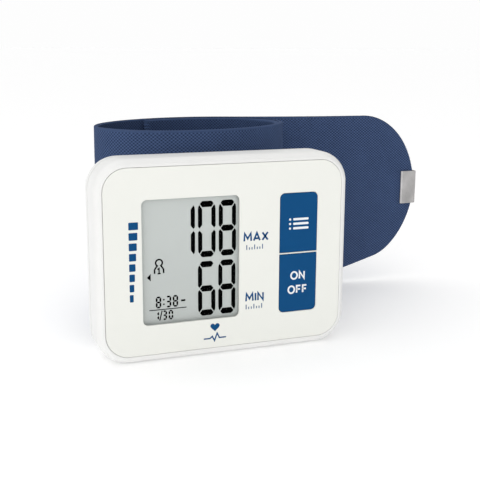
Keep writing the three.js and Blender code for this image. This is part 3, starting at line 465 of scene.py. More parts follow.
def clear_lens():
    """Clear acrylic, seen only by its gloss and a trace of dust."""
    graph = Graph("clear lens")
    haze = graph.noise(LENS_HAZE)
    return graph.surface(
        Base_Color=(0.05, 0.055, 0.053, 1.0),
        Roughness=0.06 + 0.05 * haze,
        Alpha=0.006 + 0.012 * haze,
        IOR=1.49,
    )


def circuit_board():
    """Green solder mask over fine copper runs."""
    graph = Graph("circuit board")
    x, _, z = graph.axes(graph.place())
    bend = graph.noise(TRACK_BEND) * TRACK_SWAY
    copper = (x + bend).wave(TRACK_PITCH).above(0.55).most((z - bend).wave(TRACK_ROW).above(0.8))
    return graph.surface(
        Base_Color=graph.mixed(copper, (0.012, 0.085, 0.03), (0.05, 0.2, 0.06)),
        Roughness=0.38 + 0.1 * graph.noise(BOARD_PATCH),
        Normal=graph.bump(copper, TRACK_DEPTH),
    )


def plain_floor(look):
    """Seamless pale floor with a trace of tooth."""
    graph = Graph("plain floor")
    cloud = graph.noise(FLOOR_CLOUD)
    return graph.surface(
        Base_Color=graph.tinted(cloud, look.floor_colour, 0.99, 1.0),
        Roughness=0.85 + 0.05 * cloud,
        Specular_IOR_Level=0.15,
        Emission_Color=(1.0, 1.0, 1.0, 1.0),
        Emission_Strength=look.floor_glow,
    )


# Finishes that several groups of pieces share


def plated_steel():
    return metal("plated steel", (0.55, 0.55, 0.56))


def inner_plastic():
    return moulded("inner plastic", (0.72, 0.72, 0.7), 0.5)


def dark_rubber():
    return moulded("dark rubber", (0.02, 0.02, 0.022), 0.75, grain=0.4 * MM, depth=0.02 * MM, mottle=0.2)


def cuff_cloth(look):
    return woven("cuff cloth", look.cloth_colour, (look.weave_pitch, look.weave_rise), rim=CLOTH_RIM)


# Mesh tools


class Rect:
    """A rectangle seen from the front."""

    def __init__(self, x0, z0, x1, z1):
        self.x0, self.z0, self.x1, self.z1 = x0, z0, x1, z1

    @classmethod
    def of(cls, node):
        low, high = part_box(node)
        return cls(low.x, low.z, high.x, high.z)

    @classmethod
    def millimetres(cls, x0, x1, z0, z1):
        return cls(x0 * MM, z0 * MM, x1 * MM, z1 * MM)

    def spread(self, points):
        """Points of a unit square, laid over it."""
        width, height = self.x1 - self.x0, self.z1 - self.z0
        return [(self.x0 + x * width, self.z0 + z * height) for x, z in points]

    def grown(self, by):
        return Rect(self.x0 - by, self.z0 - by, self.x1 + by, self.z1 + by)

    def rounded(self, radii, steps=CORNER_STEPS):
        """Points of its outline with round corners, counter-clockwise from the lower left."""
        radii = radii if isinstance(radii, (list, tuple)) else [radii] * 4
        corners = [
            (self.x0, self.z0, 1, 1), (self.x1, self.z0, -1, 1),
            (self.x1, self.z1, -1, -1), (self.x0, self.z1, 1, -1),
        ]
        points = []
        for turn, ((x, z, dx, dz), radius) in enumerate(zip(corners, radii)):
            if radius <= 0:
                points.append((x, z))
                continue
            for step in range(steps + 1):
                angle = math.pi + (turn + step / steps) * math.pi / 2
                points.append((
                    x + radius * (dx + math.cos(angle)),
                    z + radius * (dz + math.sin(angle)),
                ))
        return points


WINDOW = Rect.of("lcd_glass").grown(-GLASS_LAP)
CASING = Rect.of("front_cover")
SQUARE = ((-1, -1), (1, -1), (1, 1), (-1, 1))


def link(name, mesh):
    piece = bpy.data.objects.new(name, mesh)
    bpy.context.scene.collection.objects.link(piece)
    return piece


def mesh_of(name, vertices, faces):
    mesh = bpy.data.meshes.new(name)
    mesh.from_pydata([tuple(vertex) for vertex in vertices], [], [tuple(face) for face in faces])
    return mesh


def closed(mesh, merge=True):
    """Merges doubles and turns every face outwards."""
    work = bmesh.new()
    work.from_mesh(mesh)
    if merge:
        bmesh.ops.remove_doubles(work, verts=work.verts, dist=MERGE)
        bmesh.ops.dissolve_degenerate(work, edges=work.edges, dist=MERGE)
    bmesh.ops.recalc_face_normals(work, faces=work.faces)
    work.to_mesh(mesh)
    work.free()
    return mesh


def smooth(piece, angle=SMOOTH_ANGLE, weighted=True):
    piece.data.shade_smooth()
    piece.data.set_sharp_from_angle(angle=angle)
    if weighted:
        modifier = piece.modifiers.new("even shading", "WEIGHTED_NORMAL")
        modifier.keep_sharp = True
    return piece


def settle(piece):
    """Turns a piece's modifiers into plain mesh."""
    graph = bpy.context.evaluated_depsgraph_get()
    old = piece.data
    piece.data = bpy.data.meshes.new_from_object(piece.evaluated_get(graph))
    piece.modifiers.clear()
    bpy.data.meshes.remove(old)
    return piece


def carve(piece, tool, operation="DIFFERENCE"):
    modifier = piece.modifiers.new("carve", "BOOLEAN")
    modifier.solver = "EXACT"
    modifier.operation = operation
    modifier.object = tool
    settle(piece)
    remove(tool)
    return piece


def remove(piece):
    mesh = piece.data
    bpy.data.objects.remove(piece)
    bpy.data.meshes.remove(mesh)


def loft(name, rings):
    """Closed skin through rings of equal length, with flat ends."""
    count = len(rings[0])
    faces = []
    for ring in range(len(rings) - 1):
        for i in range(count):
            a = ring * count + i
            b = ring * count + (i + 1) % count
            faces.append((a, b, b + count, a + count))
    last = (len(rings) - 1) * count
    faces.append(range(count))
    faces.append(range(last, last + count))
    return link(name, closed(mesh_of(name, [point for ring in rings for point in ring], faces)))


def block(name, outline, front, back):
    """Front-view outline between two places along Y."""
    return loft(name, [[(x, y, z) for x, z in outline] for y in (front, back)])


def box(name, rect, front, back):
    return block(name, rect.rounded(0), front, back)


def lathe(name, profile, place, axis, steps=ROUND_STEPS):
    """Turned piece: a profile of radius and height about an axis through a place."""
    turn = Vector((0, 0, 1)).rotation_difference(Vector(axis)).to_matrix()
    rings = []
    for radius, height in profile:
        angles = [math.tau * i / steps for i in range(steps)]
        ring = [Vector((radius * math.cos(a), radius * math.sin(a), height)) for a in angles]
        rings.append([Vector(place) + turn @ point for point in ring])
    return loft(name, rings)


def face_matrix(y):
    """From a drawing in millimetres to the plane of the face at a place along Y."""
    return Matrix.Translation((0, y, 0)) @ Matrix.Rotation(math.pi / 2, 4, "X") @ Matrix.Scale(MM, 4)


def curve_mesh(curve, matrix):
    """A flat curve or words as a mesh in its place."""
    holder = bpy.data.objects.new("drawing", curve)
    bpy.context.scene.collection.objects.link(holder)
    graph = bpy.context.evaluated_depsgraph_get()
    mesh = bpy.data.meshes.new_from_object(holder.evaluated_get(graph))
    bpy.data.objects.remove(holder)
    bpy.data.curves.remove(curve)
    mesh.transform(matrix)
    return closed(mesh)


def cut_plate(name, outlines, front, back, bevel):
    """Flat plate: the first outline is its edge and the others are its holes."""
    curve = bpy.data.curves.new(name, "CURVE")
    curve.dimensions = "2D"
    curve.fill_mode = "BOTH"
    curve.extrude = ((back - front) / 2 - bevel) / MM
    curve.bevel_depth = bevel / MM
    curve.bevel_resolution = 3
    curve.offset = -bevel / MM
    for outline in outlines:
        spline = curve.splines.new("POLY")
        spline.points.add(len(outline) - 1)
        for point, (x, z) in zip(spline.points, outline):
            point.co = (x / MM, z / MM, 0, 1)
        spline.use_cyclic_u = True
    return link(name, curve_mesh(curve, face_matrix((front + back) / 2)))


def ink(name, polygons, y):
    """Thin closed marks on the front of a plane at a place along Y, from front-view polygons."""
    vertices, faces = [], []
    for polygon in polygons:
        first = len(vertices)
        count = len(polygon)
        vertices += [(x, depth, z) for depth in (y - INK_DEPTH, y) for x, z in polygon]
        faces += [range(first, first + count), range(first + count, first + 2 * count)]
        for i in range(count):
            j = (i + 1) % count
            faces.append((first + i, first + j, first + count + j, first + count + i))
    return link(name, closed(mesh_of(name, vertices, faces)))


MITRE_LIMIT = 0.4


def stroke(points, breadth, cyclic=False):
    """Outline polygon of a line of even breadth, with mitred corners."""
    line = [Vector(point) for point in points]
    count = len(line)
    left, right = [], []
    for i, point in enumerate(line):
        before = line[(i - 1) % count] if cyclic or i else point - (line[1] - point)
        after = line[(i + 1) % count] if cyclic or i + 1 < count else point + (point - line[i - 1])
        one = (point - before).normalized()
        two = (after - point).normalized()
        side = Vector((-one.y - two.y, one.x + two.x)).normalized()
        reach = breadth / 2 / max(side.dot(Vector((-one.y, one.x))), MITRE_LIMIT)
        left.append(tuple(point + side * reach))
        right.append(tuple(point - side * reach))
    if not cyclic:
        return [left + right[::-1]]
    quads = []
    for i in range(count):
        j = (i + 1) % count
        quads.append([left[i], left[j], right[j], right[i]])
    return quads


# Plain capitals as lines on a grid one unit high
LETTERS = {
    "A": [[(0, 0), (0.42, 1), (0.84, 0)], [(0.16, 0.28), (0.68, 0.28)]],
    "F": [[(0, 0), (0, 1), (0.56, 1)], [(0, 0.5), (0.5, 0.5)]],
    "I": [[(0, 0), (0, 1)]],
    "M": [[(0, 0), (0.06, 1), (0.48, 0.3), (0.9, 1), (0.96, 0)]],
    "N": [[(0, 0), (0, 1), (0.7, 0), (0.7, 1)]],
    "X": [[(0, 0), (0.74, 1)], [(0, 1), (0.74, 0)]],
}
ROUND_LETTER = 0.46
ROUND_LETTER_STEPS = 32


def words(text, rect, weight=0.19, space=0.36):
    """Polygons of plain capitals that fill the height of a rectangle, centred in it."""
    height = rect.z1 - rect.z0
    breadth = weight * height
    tall = height - breadth
    lines, at = [], 0.0
    for letter in text:
        if letter == "O":
            turns = [math.tau * i / ROUND_LETTER_STEPS for i in range(ROUND_LETTER_STEPS)]
            ring = [(at + ROUND_LETTER * (1 + math.cos(a)), 0.5 + 0.5 * math.sin(a)) for a in turns]
            lines.append((ring, True))
            at += 2 * ROUND_LETTER + space
            continue
        for line in LETTERS[letter]:
            lines.append(([(at + x, z) for x, z in line], False))
        at += max(x for line in LETTERS[letter] for x, _ in line) + space
    left = (rect.x0 + rect.x1 - (at - space) * tall) / 2
    polygons = []
    for line, ring in lines:
        placed = [(left + x * tall, rect.z0 + breadth / 2 + z * tall) for x, z in line]
        polygons += stroke(placed, breadth, ring)
    return polygons


def gathered(name, meshes):
    """One piece from several meshes."""
    work = bmesh.new()
    for mesh in meshes:
        work.from_mesh(mesh)
        bpy.data.meshes.remove(mesh)
    made = bpy.data.meshes.new(name)
    work.to_mesh(made)
    work.free()
    return link(name, made)


def dress(piece, material, body, nodes=()):
    """Gives a finished piece its material, its body and the solids that it stands for."""
    piece.data.materials.clear()
    piece.data.materials.append(material)
    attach(piece, body)
    if nodes:
        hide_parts(*nodes)
    return piece


def paint(nodes, material):
    """Gives solids that are shown as they are a finish."""
    for node in nodes:
        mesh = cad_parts[node].data
        mesh.materials.clear()
        mesh.materials.append(material)


REPEAT_SEED = 3


def repeat_tree():
    """Geometry nodes that set one shape on every point, turned by the point's own directions."""
    known = bpy.data.node_groups.get("Repeat on points")
    if known:
        return known
    tree = bpy.data.node_groups.new("Repeat on points", "GeometryNodeTree")
    face = tree.interface
    face.new_socket("Points", in_out="INPUT", socket_type="NodeSocketGeometry")
    face.new_socket("Shape", in_out="INPUT", socket_type="NodeSocketObject")
    face.new_socket("Least size", in_out="INPUT", socket_type="NodeSocketFloat").default_value = 1.0
    face.new_socket("Seed", in_out="INPUT", socket_type="NodeSocketInt").default_value = REPEAT_SEED
    face.new_socket("Finish", in_out="INPUT", socket_type="NodeSocketMaterial")
    face.new_socket("Pieces", in_out="OUTPUT", socket_type="NodeSocketGeometry")

    node = functools.partial(add_node, tree)
    start = node("NodeGroupInput").outputs
    up = node("GeometryNodeInputNamedAttribute", {"data_type": "FLOAT_VECTOR"}, {"Name": "up"})
    along = node("GeometryNodeInputNamedAttribute", {"data_type": "FLOAT_VECTOR"}, {"Name": "along"})
    turn = node(
        "FunctionNodeAxesToRotation", {"primary_axis": "Z", "secondary_axis": "X"},
        {0: up.outputs["Attribute"], 1: along.outputs["Attribute"]},
    )
    size = node(
        "FunctionNodeRandomValue", {"data_type": "FLOAT"},
        {2: start["Least size"], 3: 1.0, "Seed": start["Seed"]},
    )
    shape = node("GeometryNodeObjectInfo", None, {"Object": start["Shape"]})
    copies = node("GeometryNodeInstanceOnPoints", None, {
        "Points": start["Points"], "Instance": shape.outputs["Geometry"],
        "Rotation": turn.outputs[0], "Scale": size.outputs[1],
    })
    real = node("GeometryNodeRealizeInstances", None, {"Geometry": copies.outputs[0]})
    finish = node(
        "GeometryNodeSetMaterial", None, {"Geometry": real.outputs[0], "Material": start["Finish"]},
    )
    node("NodeGroupOutput", None, {0: finish.outputs[0]})
    return tree


def repeated(name, shape, points, ups, alongs, material, least=1.0):
    """One plain mesh with a copy of a shape on every point. The shape is used up."""
    mesh = mesh_of(name, points, [])
    for label, rows in (("up", ups), ("along", alongs)):
        attribute = mesh.attributes.new(label, "FLOAT_VECTOR", "POINT")
        attribute.data.foreach_set("vector", np.array(rows, np.float32).ravel())
    piece = link(name, mesh)
    modifier = piece.modifiers.new("repeat", "NODES")
    modifier.node_group = repeat_tree()
    ways = {item.name: item.identifier for item in modifier.node_group.interface.items_tree}
    modifier[ways["Shape"]] = shape
    modifier[ways["Least size"]] = least
    modifier[ways["Finish"]] = material
    settle(piece)
    remove(shape)
    return piece


# Casing

RIM_DEPTH = CASE_HIGH.y - FACE + PARTING_GAP / 2
REAR_FRONT = RIM_DEPTH + PARTING_GAP / 2
REAR_DEPTH = REAR_HIGH.y - FACE
INNER_BACK = REAR_DEPTH - WALL
RECESS = PANEL_HIGH.y - FACE + SEAT
POCKET = LENS_HIGH.y - FACE + SEAT
WALL_BACK = POCKET + LEDGE
NICK, EDGE_NICK = 0.12 * MM, 0.25 * MM
PANEL_GAP, CUT_EDGE = 0.12 * MM, 0.03 * MM
DOOR_LEFT = DOOR_LOW.x + DOOR_TAB_REACH
DOOR_RECT = Rect(DOOR_LEFT, DOOR_LOW.z - FIT, CASE_HIGH.x + WALL, DOOR_HIGH.z + FIT)
DOOR_FRONT = DOOR_LOW.y - FIT
RIDGE_SINK, RIDGE_EDGE, RIDGE_ROUND = 0.2 * MM, 0.18 * MM, 0.45
WELL_LENGTH = 8.0 * MM
SCREW_POINT, SCREW_CROWN, SCREW_FLAT = 0.1 * MM, 0.9 * MM, 0.3 * MM
CROSS_LENGTH, CROSS_BREADTH, CROSS_DEPTH, CROSS_CLEAR = 2.2 * MM, 0.5 * MM, 0.8 * MM, 0.2 * MM
CROWN_STEPS = 6
BACKWARDS = (0, 1, 0)
# Turns a shape drawn from the front so that its front faces up, ready to be repeated
LAID = Matrix.Rotation(-math.pi / 2, 4, "X")


def casing_ring(look, depth, inset):
    radius = max(look.corner_radius - inset, WALL / 4)
    return [(x, FACE + depth, z) for x, z in CASING.grown(-inset).rounded(radius)]


def quarter(steps):
    return [math.pi / 2 * i / steps for i in range(steps + 1)]


def screw_places():
    """Top of the head of each case screw."""
    places = []
    for node in CASE_SCREWS:
        low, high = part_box(node)
        places.append(Vector(((low.x + high.x) / 2, high.y, (low.z + high.z) / 2)))
    return places


def key_caps():
    """Front outline of each cap: rectangle and corner radii."""
    corner = KEY_CORNER - KEY_GAP
    upper = Rect.of("memory_key")
    lower = Rect.of("start_key")
    side = KEY_LIP + KEY_GAP
    return {
        "memory_key": (
            Rect(upper.x0 + side, upper.z0, upper.x1 - side, upper.z1 - KEY_LIP), [0, 0, corner, corner],
        ),
        "start_key": (
            Rect(lower.x0 + side, lower.z0 + KEY_LIP, lower.x1 - side, lower.z1), [corner, corner, 0, 0],
        ),
    }


def front_cover(look):
    """Shell with a round edge, a recess for the panel and openings for the window and the keys."""
    edge, deep = look.edge_width, look.edge_depth
    margin = edge + BEZEL_LAND
    back = CASE_HIGH.y - FACE
    nick = [(1 - math.sin(a), 1 - math.cos(a)) for a in quarter(NICK_STEPS)]
    profile = [(RECESS, margin), (NICK, margin)]
    profile += [(NICK * down, margin - NICK * aside) for down, aside in nick]
    profile += [(deep * (1 - math.cos(a)), edge * (1 - math.sin(a))) for a in quarter(EDGE_STEPS)]
    profile += [(back - EDGE_NICK * down, EDGE_NICK * aside) for down, aside in nick]
    profile += [(back, WALL), (WALL_BACK, WALL)]
    cover = loft("front_cover_shell", [casing_ring(look, depth, inset) for depth, inset in profile])
    lens = WINDOW.grown(LENS_LAP + FIT).rounded(WINDOW_CORNER, HOLE_STEPS)
    upper, lower = (rect for rect, _ in key_caps().values())
    keys = Rect(lower.x0, lower.z0, upper.x1, upper.z1).grown(KEY_GAP)
    carve(cover, block("tool", lens, FACE, FACE + POCKET))
    carve(cover, box("tool", WINDOW.grown(GLASS_LAP + FIT), FACE, FACE + RIM_DEPTH))
    carve(cover, block("tool", keys.rounded(KEY_CORNER, HOLE_STEPS), FACE, FACE + RIM_DEPTH))
    return smooth(cover)


def rear_form(look, name, front, back, inset, mouth=0.0):
    """Form of the rear cover that draws in towards its back, with a straight mouth if asked for."""
    rings = [casing_ring(look, front - mouth, inset)] if mouth else []
    for angle in quarter(REAR_STEPS):
        drawn = inset + look.rear_inset * (1 - math.cos(angle))
        rings.append(casing_ring(look, front + (back - front) * math.sin(angle), drawn))
    return loft(name, rings)


def rear_shell(look, name):
    shell = rear_form(look, name, REAR_FRONT, REAR_DEPTH, 0)
    return carve(shell, rear_form(look, "tool", REAR_FRONT, INNER_BACK, WALL, mouth=WALL))


def rear_cover(look):
    """Shell with a lip at the parting line, a doorway for the cells and wells for the screws."""
    cover = rear_shell(look, "rear_cover_shell")
    carve(cover, box("tool", DOOR_RECT, DOOR_FRONT, REAR_HIGH.y + WALL))
    inset = WALL + FIT
    ends = (RIM_DEPTH - LIP_DEPTH, REAR_FRONT + WALL)
    lip = loft("tool", [casing_ring(look, depth, inset) for depth in ends])
    hollow = [casing_ring(look, depth, inset + LIP_WALL) for depth in (0, REAR_FRONT + 2 * WALL)]
    carve(lip, loft("tool", hollow))
    carve(cover, lip, "UNION")
    wall = Rect(DOOR_LEFT - SEAT - BAY_WALL, DOOR_RECT.z0, DOOR_LEFT - SEAT, DOOR_RECT.z1)
    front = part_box("battery_1")[0].y
    carve(cover, box("tool", wall, front, REAR_HIGH.y - WALL / 2), "UNION")
    radius = SCREW_HEAD_RADIUS + SCREW_GAP
    for place in screw_places():
        floor = place - Vector((0, SCREW_HEAD_HEIGHT + SEAT, 0))
        carve(cover, lathe("tool", [(radius, 0), (radius, WELL_LENGTH)], floor, BACKWARDS))
    return smooth(cover)


def door_shell(look):
    """The rear cover's form over the doorway, with two tabs that reach under its edge."""
    door = rear_shell(look, "battery_door_shell")
    space = DOOR_RECT.grown(-FIT)
    carve(door, box("tool", space, DOOR_LOW.y, REAR_HIGH.y + WALL), "INTERSECT")
    height = DOOR_RECT.z1 - DOOR_RECT.z0
    for z in (DOOR_RECT.z0 + height / 4, DOOR_RECT.z1 - height / 4):
        low, high = z - DOOR_TAB_WIDTH / 2, z + DOOR_TAB_WIDTH / 2
        inner = FACE + INNER_BACK
        tab = Rect(DOOR_LOW.x, low, DOOR_LEFT + DOOR_TAB_ROOT, high)
        root = Rect(DOOR_LEFT + FIT, low, DOOR_LEFT + DOOR_TAB_ROOT, high)
        front = inner - SEAT - DOOR_TAB_THICK
        carve(door, box("tool", tab, front, inner), "UNION")
        carve(door, box("tool", root, front, REAR_HIGH.y - WALL / 2), "UNION")
    return smooth(door)


def door_ridges(look, material):
    """A row of grip ridges on the door."""
    breadth = RIDGE_PITCH / 2
    half = RIDGE_LENGTH / 2
    outline = Rect(-breadth / 2, -half, breadth / 2, half).rounded(breadth * RIDGE_ROUND, HOLE_STEPS)
    ridge = cut_plate("ridge", [outline], -RIDGE_PROUD, RIDGE_SINK, RIDGE_EDGE)
    ridge.data.transform(LAID)
    middle = Vector(((DOOR_LEFT + CASE_HIGH.x - look.rear_inset) / 2, REAR_HIGH.y, CASE_HIGH.z / 2))
    steps = [i - (RIDGE_COUNT - 1) / 2 for i in range(RIDGE_COUNT)]
    points = [middle + Vector((step * RIDGE_PITCH, 0, 0)) for step in steps]
    alongs = [(1, 0, 0)] * RIDGE_COUNT
    return smooth(repeated("door_ridges", ridge, points, [BACKWARDS] * RIDGE_COUNT, alongs, material))


def screw_heads(material):
    """Pan heads with a cross recess, on their shanks."""
    low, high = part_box(CASE_SCREWS[0])
    length = high.y - low.y
    profile = [(SCREW_POINT, -length), (SCREW_RADIUS, SCREW_RADIUS - length)]
    profile += [(SCREW_RADIUS, -SCREW_HEAD_HEIGHT), (SCREW_HEAD_RADIUS, -SCREW_HEAD_HEIGHT)]
    crown = quarter(CROWN_STEPS)[:-2]
    profile += [(SCREW_HEAD_RADIUS * math.cos(a), SCREW_CROWN * (math.sin(a) - 1)) for a in crown]
    profile.append((SCREW_FLAT, 0))
    screw = lathe("screw", profile, (0, 0, 0), (0, 0, 1), SCREW_STEPS)
    for wide, tall in ((CROSS_LENGTH, CROSS_BREADTH), (CROSS_BREADTH, CROSS_LENGTH)):
        slot = Rect(-wide / 2, -tall / 2, wide / 2, tall / 2)
        tool = box("tool", slot, -CROSS_CLEAR, CROSS_DEPTH)
        tool.data.transform(LAID)
        carve(screw, tool)
    places = screw_places()
    turns = [(math.cos(i), 0, math.sin(i)) for i in range(len(places))]
    return smooth(repeated("case_screws", screw, places, [BACKWARDS] * len(places), turns, material))


def face_panel(look):
    """Flat sheet in the rim, cut out for the window and each key."""
    margin = look.edge_width + BEZEL_LAND + PANEL_GAP
    edge = CASING.grown(-margin).rounded(look.corner_radius - margin)
    holes = [WINDOW.rounded(WINDOW_CORNER, WINDOW_STEPS)]
    for rect, radii in key_caps().values():
        wider = [radius + KEY_GAP if radius else 0 for radius in radii]
        holes.append(rect.grown(KEY_GAP).rounded(wider, WINDOW_STEPS))
    return smooth(cut_plate("face_panel_sheet", [edge, *holes], PANEL_LOW.y, PANEL_HIGH.y, CUT_EDGE))


class MONITOR_OT_casing(bpy.types.Operator):
    """Front cover, rear cover, battery door, screws and face panel"""

    bl_idname = "monitor.casing"
    bl_label = "Casing"

    def execute(self, context):
        look = context.scene.monitor_casing
        white = moulded("casing white", look.body_colour, 0.34)
        panel = moulded(
            "panel white", look.panel_colour, 0.34, grain=1.2 * MM, depth=0.001 * MM, mottle=0.012,
        )
        steel = plated_steel()
        dress(front_cover(look), white, "casing", ["front_cover"])
        dress(rear_cover(look), white, "casing", ["rear_cover"])
        dress(face_panel(look), panel, "casing", ["face_panel"])
        dress(door_shell(look), white, "door", ["battery_door"])
        dress(door_ridges(look, white), white, "door")
        dress(screw_heads(steel), steel, "casing", CASE_SCREWS)
        return {"FINISHED"}


# Keys

KEY_BODIES = {"memory_key": "upper_key", "start_key": "lower_key"}
KEY_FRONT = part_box("memory_key")[0].y
KEY_EDGE = 0.12 * MM
LIST_PLACE = Rect.millimetres(21.0, 27.9, 39.3, 43.0)
ON_PLACE = Rect.millimetres(19.0, 29.7, 22.5, 25.4)
OFF_PLACE = Rect.millimetres(19.0, 29.7, 17.75, 20.65)


def key_cap(name, rect, radii):
    """Cap that fills its opening, on a lip that holds it in."""
    low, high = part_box(name)
    cap = cut_plate(f"{name}_cap", [rect.rounded(radii, CAP_STEPS)], low.y, high.y, KEY_EDGE)
    lip = box("tool", Rect.of(name), high.y - KEY_LIP_THICK, high.y)
    return smooth(carve(cap, lip, "UNION"))


def list_mark(rect):
    """Three short lines, each after a dot: the sign for stored readings."""
    polygons = []
    height = rect.z1 - rect.z0
    bar = height / 5
    for row in range(3):
        bottom = rect.z0 + row * (height - bar) / 2
        dot = Rect(rect.x0, bottom, rect.x0 + bar, bottom + bar)
        line = Rect(rect.x0 + 2 * bar, bottom, rect.x1, bottom + bar)
        polygons += [dot.rounded(bar / 2, 6), line.rounded(bar / 3, 4)]
    return polygons


class MONITOR_OT_keys(bpy.types.Operator):
    """The two press keys and the marks on them"""

    bl_idname = "monitor.keys"
    bl_label = "Keys"

    def execute(self, context):
        look = context.scene.monitor_casing
        blue = moulded("key blue", look.key_colour, 0.5, mottle=0.05, Specular_IOR_Level=0.06)
        white = printed("key marks", look.legend_colour)
        for name, (rect, radii) in key_caps().items():
            dress(key_cap(name, rect, radii), blue, KEY_BODIES[name], [name])
        signs = words("ON", ON_PLACE) + words("OFF", OFF_PLACE)
        dress(ink("memory_mark", list_mark(LIST_PLACE), KEY_FRONT), white, "upper_key")
        dress(ink("start_mark", signs, KEY_FRONT), white, "lower_key")
        return {"FINISHED"}


# Display

# Strokes of each figure that is shown
FIGURES = {"0": "abcdef", "1": "bc", "3": "abcdg", "6": "acdefg", "8": "abcdefg"}
# Rows of figures: signs, right edges, bottom, width and height, in millimetres
UPPER_READING = ("108", (-10.2, -3.4, 3.45), 32.1, 5.8, 17.9)
LOWER_READING = ("68", (-3.5, 3.3), 12.95, 5.8, 17.8)
CLOCK = ("838", (-21.4, -18.15, -15.9), 16.85, 1.75, 3.8)
DATE = ("130", (-22.15, -19.55, -17.55), 12.85, 1.5, 3.15)
LARGE_BAR = 1.4
SMALL_STROKE = 0.56 * MM
SLASH_BREADTH = 0.36 * MM
USER_LINE = 0.5 * MM
DOT_CORNER, BAR_CORNER, MARK_STEPS = 0.1 * MM, 0.15 * MM, 3
CLOCK_DOTS = [Rect.millimetres(-20.8, -20.3, z - 0.25, z + 0.25) for z in (18.0, 19.5)]
CLOCK_BAR = Rect.millimetres(-14.95, -13.5, 18.4, 19.0)
CLOCK_RULE = Rect.millimetres(-25.25, -13.15, 16.22, 16.5)
DATE_SLASH = Rect.millimetres(-21.95, -21.15, 12.85, 16.0)
POINTER = Rect.millimetres(-25.9, -24.65, 25.75, 28.15)
USER_PLACE = Rect.millimetres(-23.4, -20.5, 28.05, 32.5)


def figure(sign, right, bottom, width, height, breadth, bar):
    """Polygons of the strokes of one seven-stroke figure, by its lower right corner.

    Its upright strokes have a breadth, and its level ones are bars of their own thickness.
    """
    s, t, w, h = breadth, bar, width, height
    crown = [(0.47 * s, h - 0.47 * t), (0.76 * s, h - 0.14 * t), (1.1 * s, h)]
    top = crown + [(w - x, z) for x, z in reversed(crown)] + [(w - s, h - t), (s, h - t)]
    left = [
        (0, h - 1.35 * t), (0.08 * s, h - 0.9 * t), (0.34 * s, h - 0.61 * t), (s, h - 1.3 * t),
        (s, h / 2 + 0.74 * t), (0.36 * s, h / 2 + 0.17 * t), (0, h / 2 + 0.5 * t),
    ]
    ends = [(1.02 * s, h / 2 - t / 2), (0.48 * s, h / 2), (1.02 * s, h / 2 + t / 2)]
    waist = ends + [(w - x, z) for x, z in reversed(ends)]
    over = [(x, h - z) for x, z in left]
    strokes = {
        "a": top, "d": [(x, h - z) for x, z in top], "g": waist, "f": left, "e": over,
        "b": [(w - x, z) for x, z in left], "c": [(w - x, z) for x, z in over],
    }
    return [
        [(right - w + x, bottom + z) for x, z in strokes[name]] for name in FIGURES[sign]
    ]


def figures(row, breadth, bar):
    """Polygons of a row of figures."""
    signs, rights, bottom, width, height = row
    polygons = []
    for sign, right in zip(signs, rights):
        polygons += figure(sign, right * MM, bottom * MM, width * MM, height * MM, breadth, bar)
    return polygons


def user_sign(rect):
    """A head and shoulders in outline, with a figure one."""
    width, height = rect.x1 - rect.x0, rect.z1 - rect.z0
    middle = (rect.x0 + rect.x1) / 2
    head = 0.37 * width
    neck = math.radians(-58)
    arc = [neck + (math.pi - 2 * neck) * i / 24 for i in range(25)]
    ring = [(middle + head * math.cos(a), rect.z1 - head + head * math.sin(a)) for a in arc]
    foot = rect.spread([(1, 0), (1, 0.26), (0.9, 0.39)])
    outline = foot + ring + [(2 * middle - x, z) for x, z in reversed(foot)]
    line = USER_LINE
    tall = rect.z0 + 0.4 * height
    one = [(middle - line, tall - line), (middle, tall - 0.3 * line), (middle, rect.z0 - line / 2)]
    base = Rect(middle - line, rect.z0 - line / 2, middle + line, rect.z0 + 0.3 * line)
    return stroke(outline, line) + stroke(one, 0.8 * line) + [base.rounded(0)]


def display_marks(look):
    """Plain figures and signs: two large readings, a clock, a date, a user and a pointer."""
    marks = []
    for row in (UPPER_READING, LOWER_READING):
        marks += figures(row, look.stroke, LARGE_BAR * look.stroke)
    for row in (CLOCK, DATE):
        marks += figures(row, SMALL_STROKE, SMALL_STROKE)
    marks += [dot.rounded(DOT_CORNER, MARK_STEPS) for dot in CLOCK_DOTS]
    marks += stroke(DATE_SLASH.spread([(0, 0), (1, 1)]), SLASH_BREADTH)
    marks += [CLOCK_BAR.rounded(BAR_CORNER, MARK_STEPS), CLOCK_RULE.rounded(0)]
    marks.append(POINTER.spread([(0, 0.5), (1, 0), (1, 1)]))
    marks += user_sign(USER_PLACE)
    return ink("display_figures", marks, GLASS_LOW.y)


class MONITOR_OT_display(bpy.types.Operator):
    """Display glass, its figures and the clear lens"""

    bl_idname = "monitor.display"
    bl_label = "Display"

    def execute(self, context):
        look = context.scene.monitor_display
        paint(["lcd_glass"], display_ground(look))
        paint(["display_lens"], clear_lens())
        black = printed("display marks", look.mark_colour, 0.5, gloss=0.0)
        dress(display_marks(look), black, "casing")
        return {"FINISHED"}


# Print on the panel

GAUGE_BARS = 8
GAUGE_LEFT, GAUGE_BOTTOM, GAUGE_TOP = -31.8 * MM, 20.1 * MM, 45.9 * MM
GAUGE_NARROW, GAUGE_WIDE = 1.2 * MM, 3.0 * MM
GAUGE_FILL, GAUGE_CORNER = 0.72, 0.25 * MM
TICKS, TICK_BREADTH = 7, 0.28 * MM
HEART_POINTS = 48
PULSE_BREADTH = 0.42 * MM
HEART_PLACE = Rect.millimetres(-5.78, -2.66, 7.75, 10.5)
PULSE_PLACE = Rect.millimetres(-8.0, -0.5, 4.8, 7.2)
TICK_PLACES = (Rect.millimetres(6.5, 11.9, 33.75, 35.3), Rect.millimetres(6.4, 11.8, 14.1, 15.65))
WORD_PLACES = {
    "MAX": Rect.millimetres(6.3, 13.0, 36.3, 39.35),
    "MIN": Rect.millimetres(6.2, 12.4, 16.5, 19.55),
}


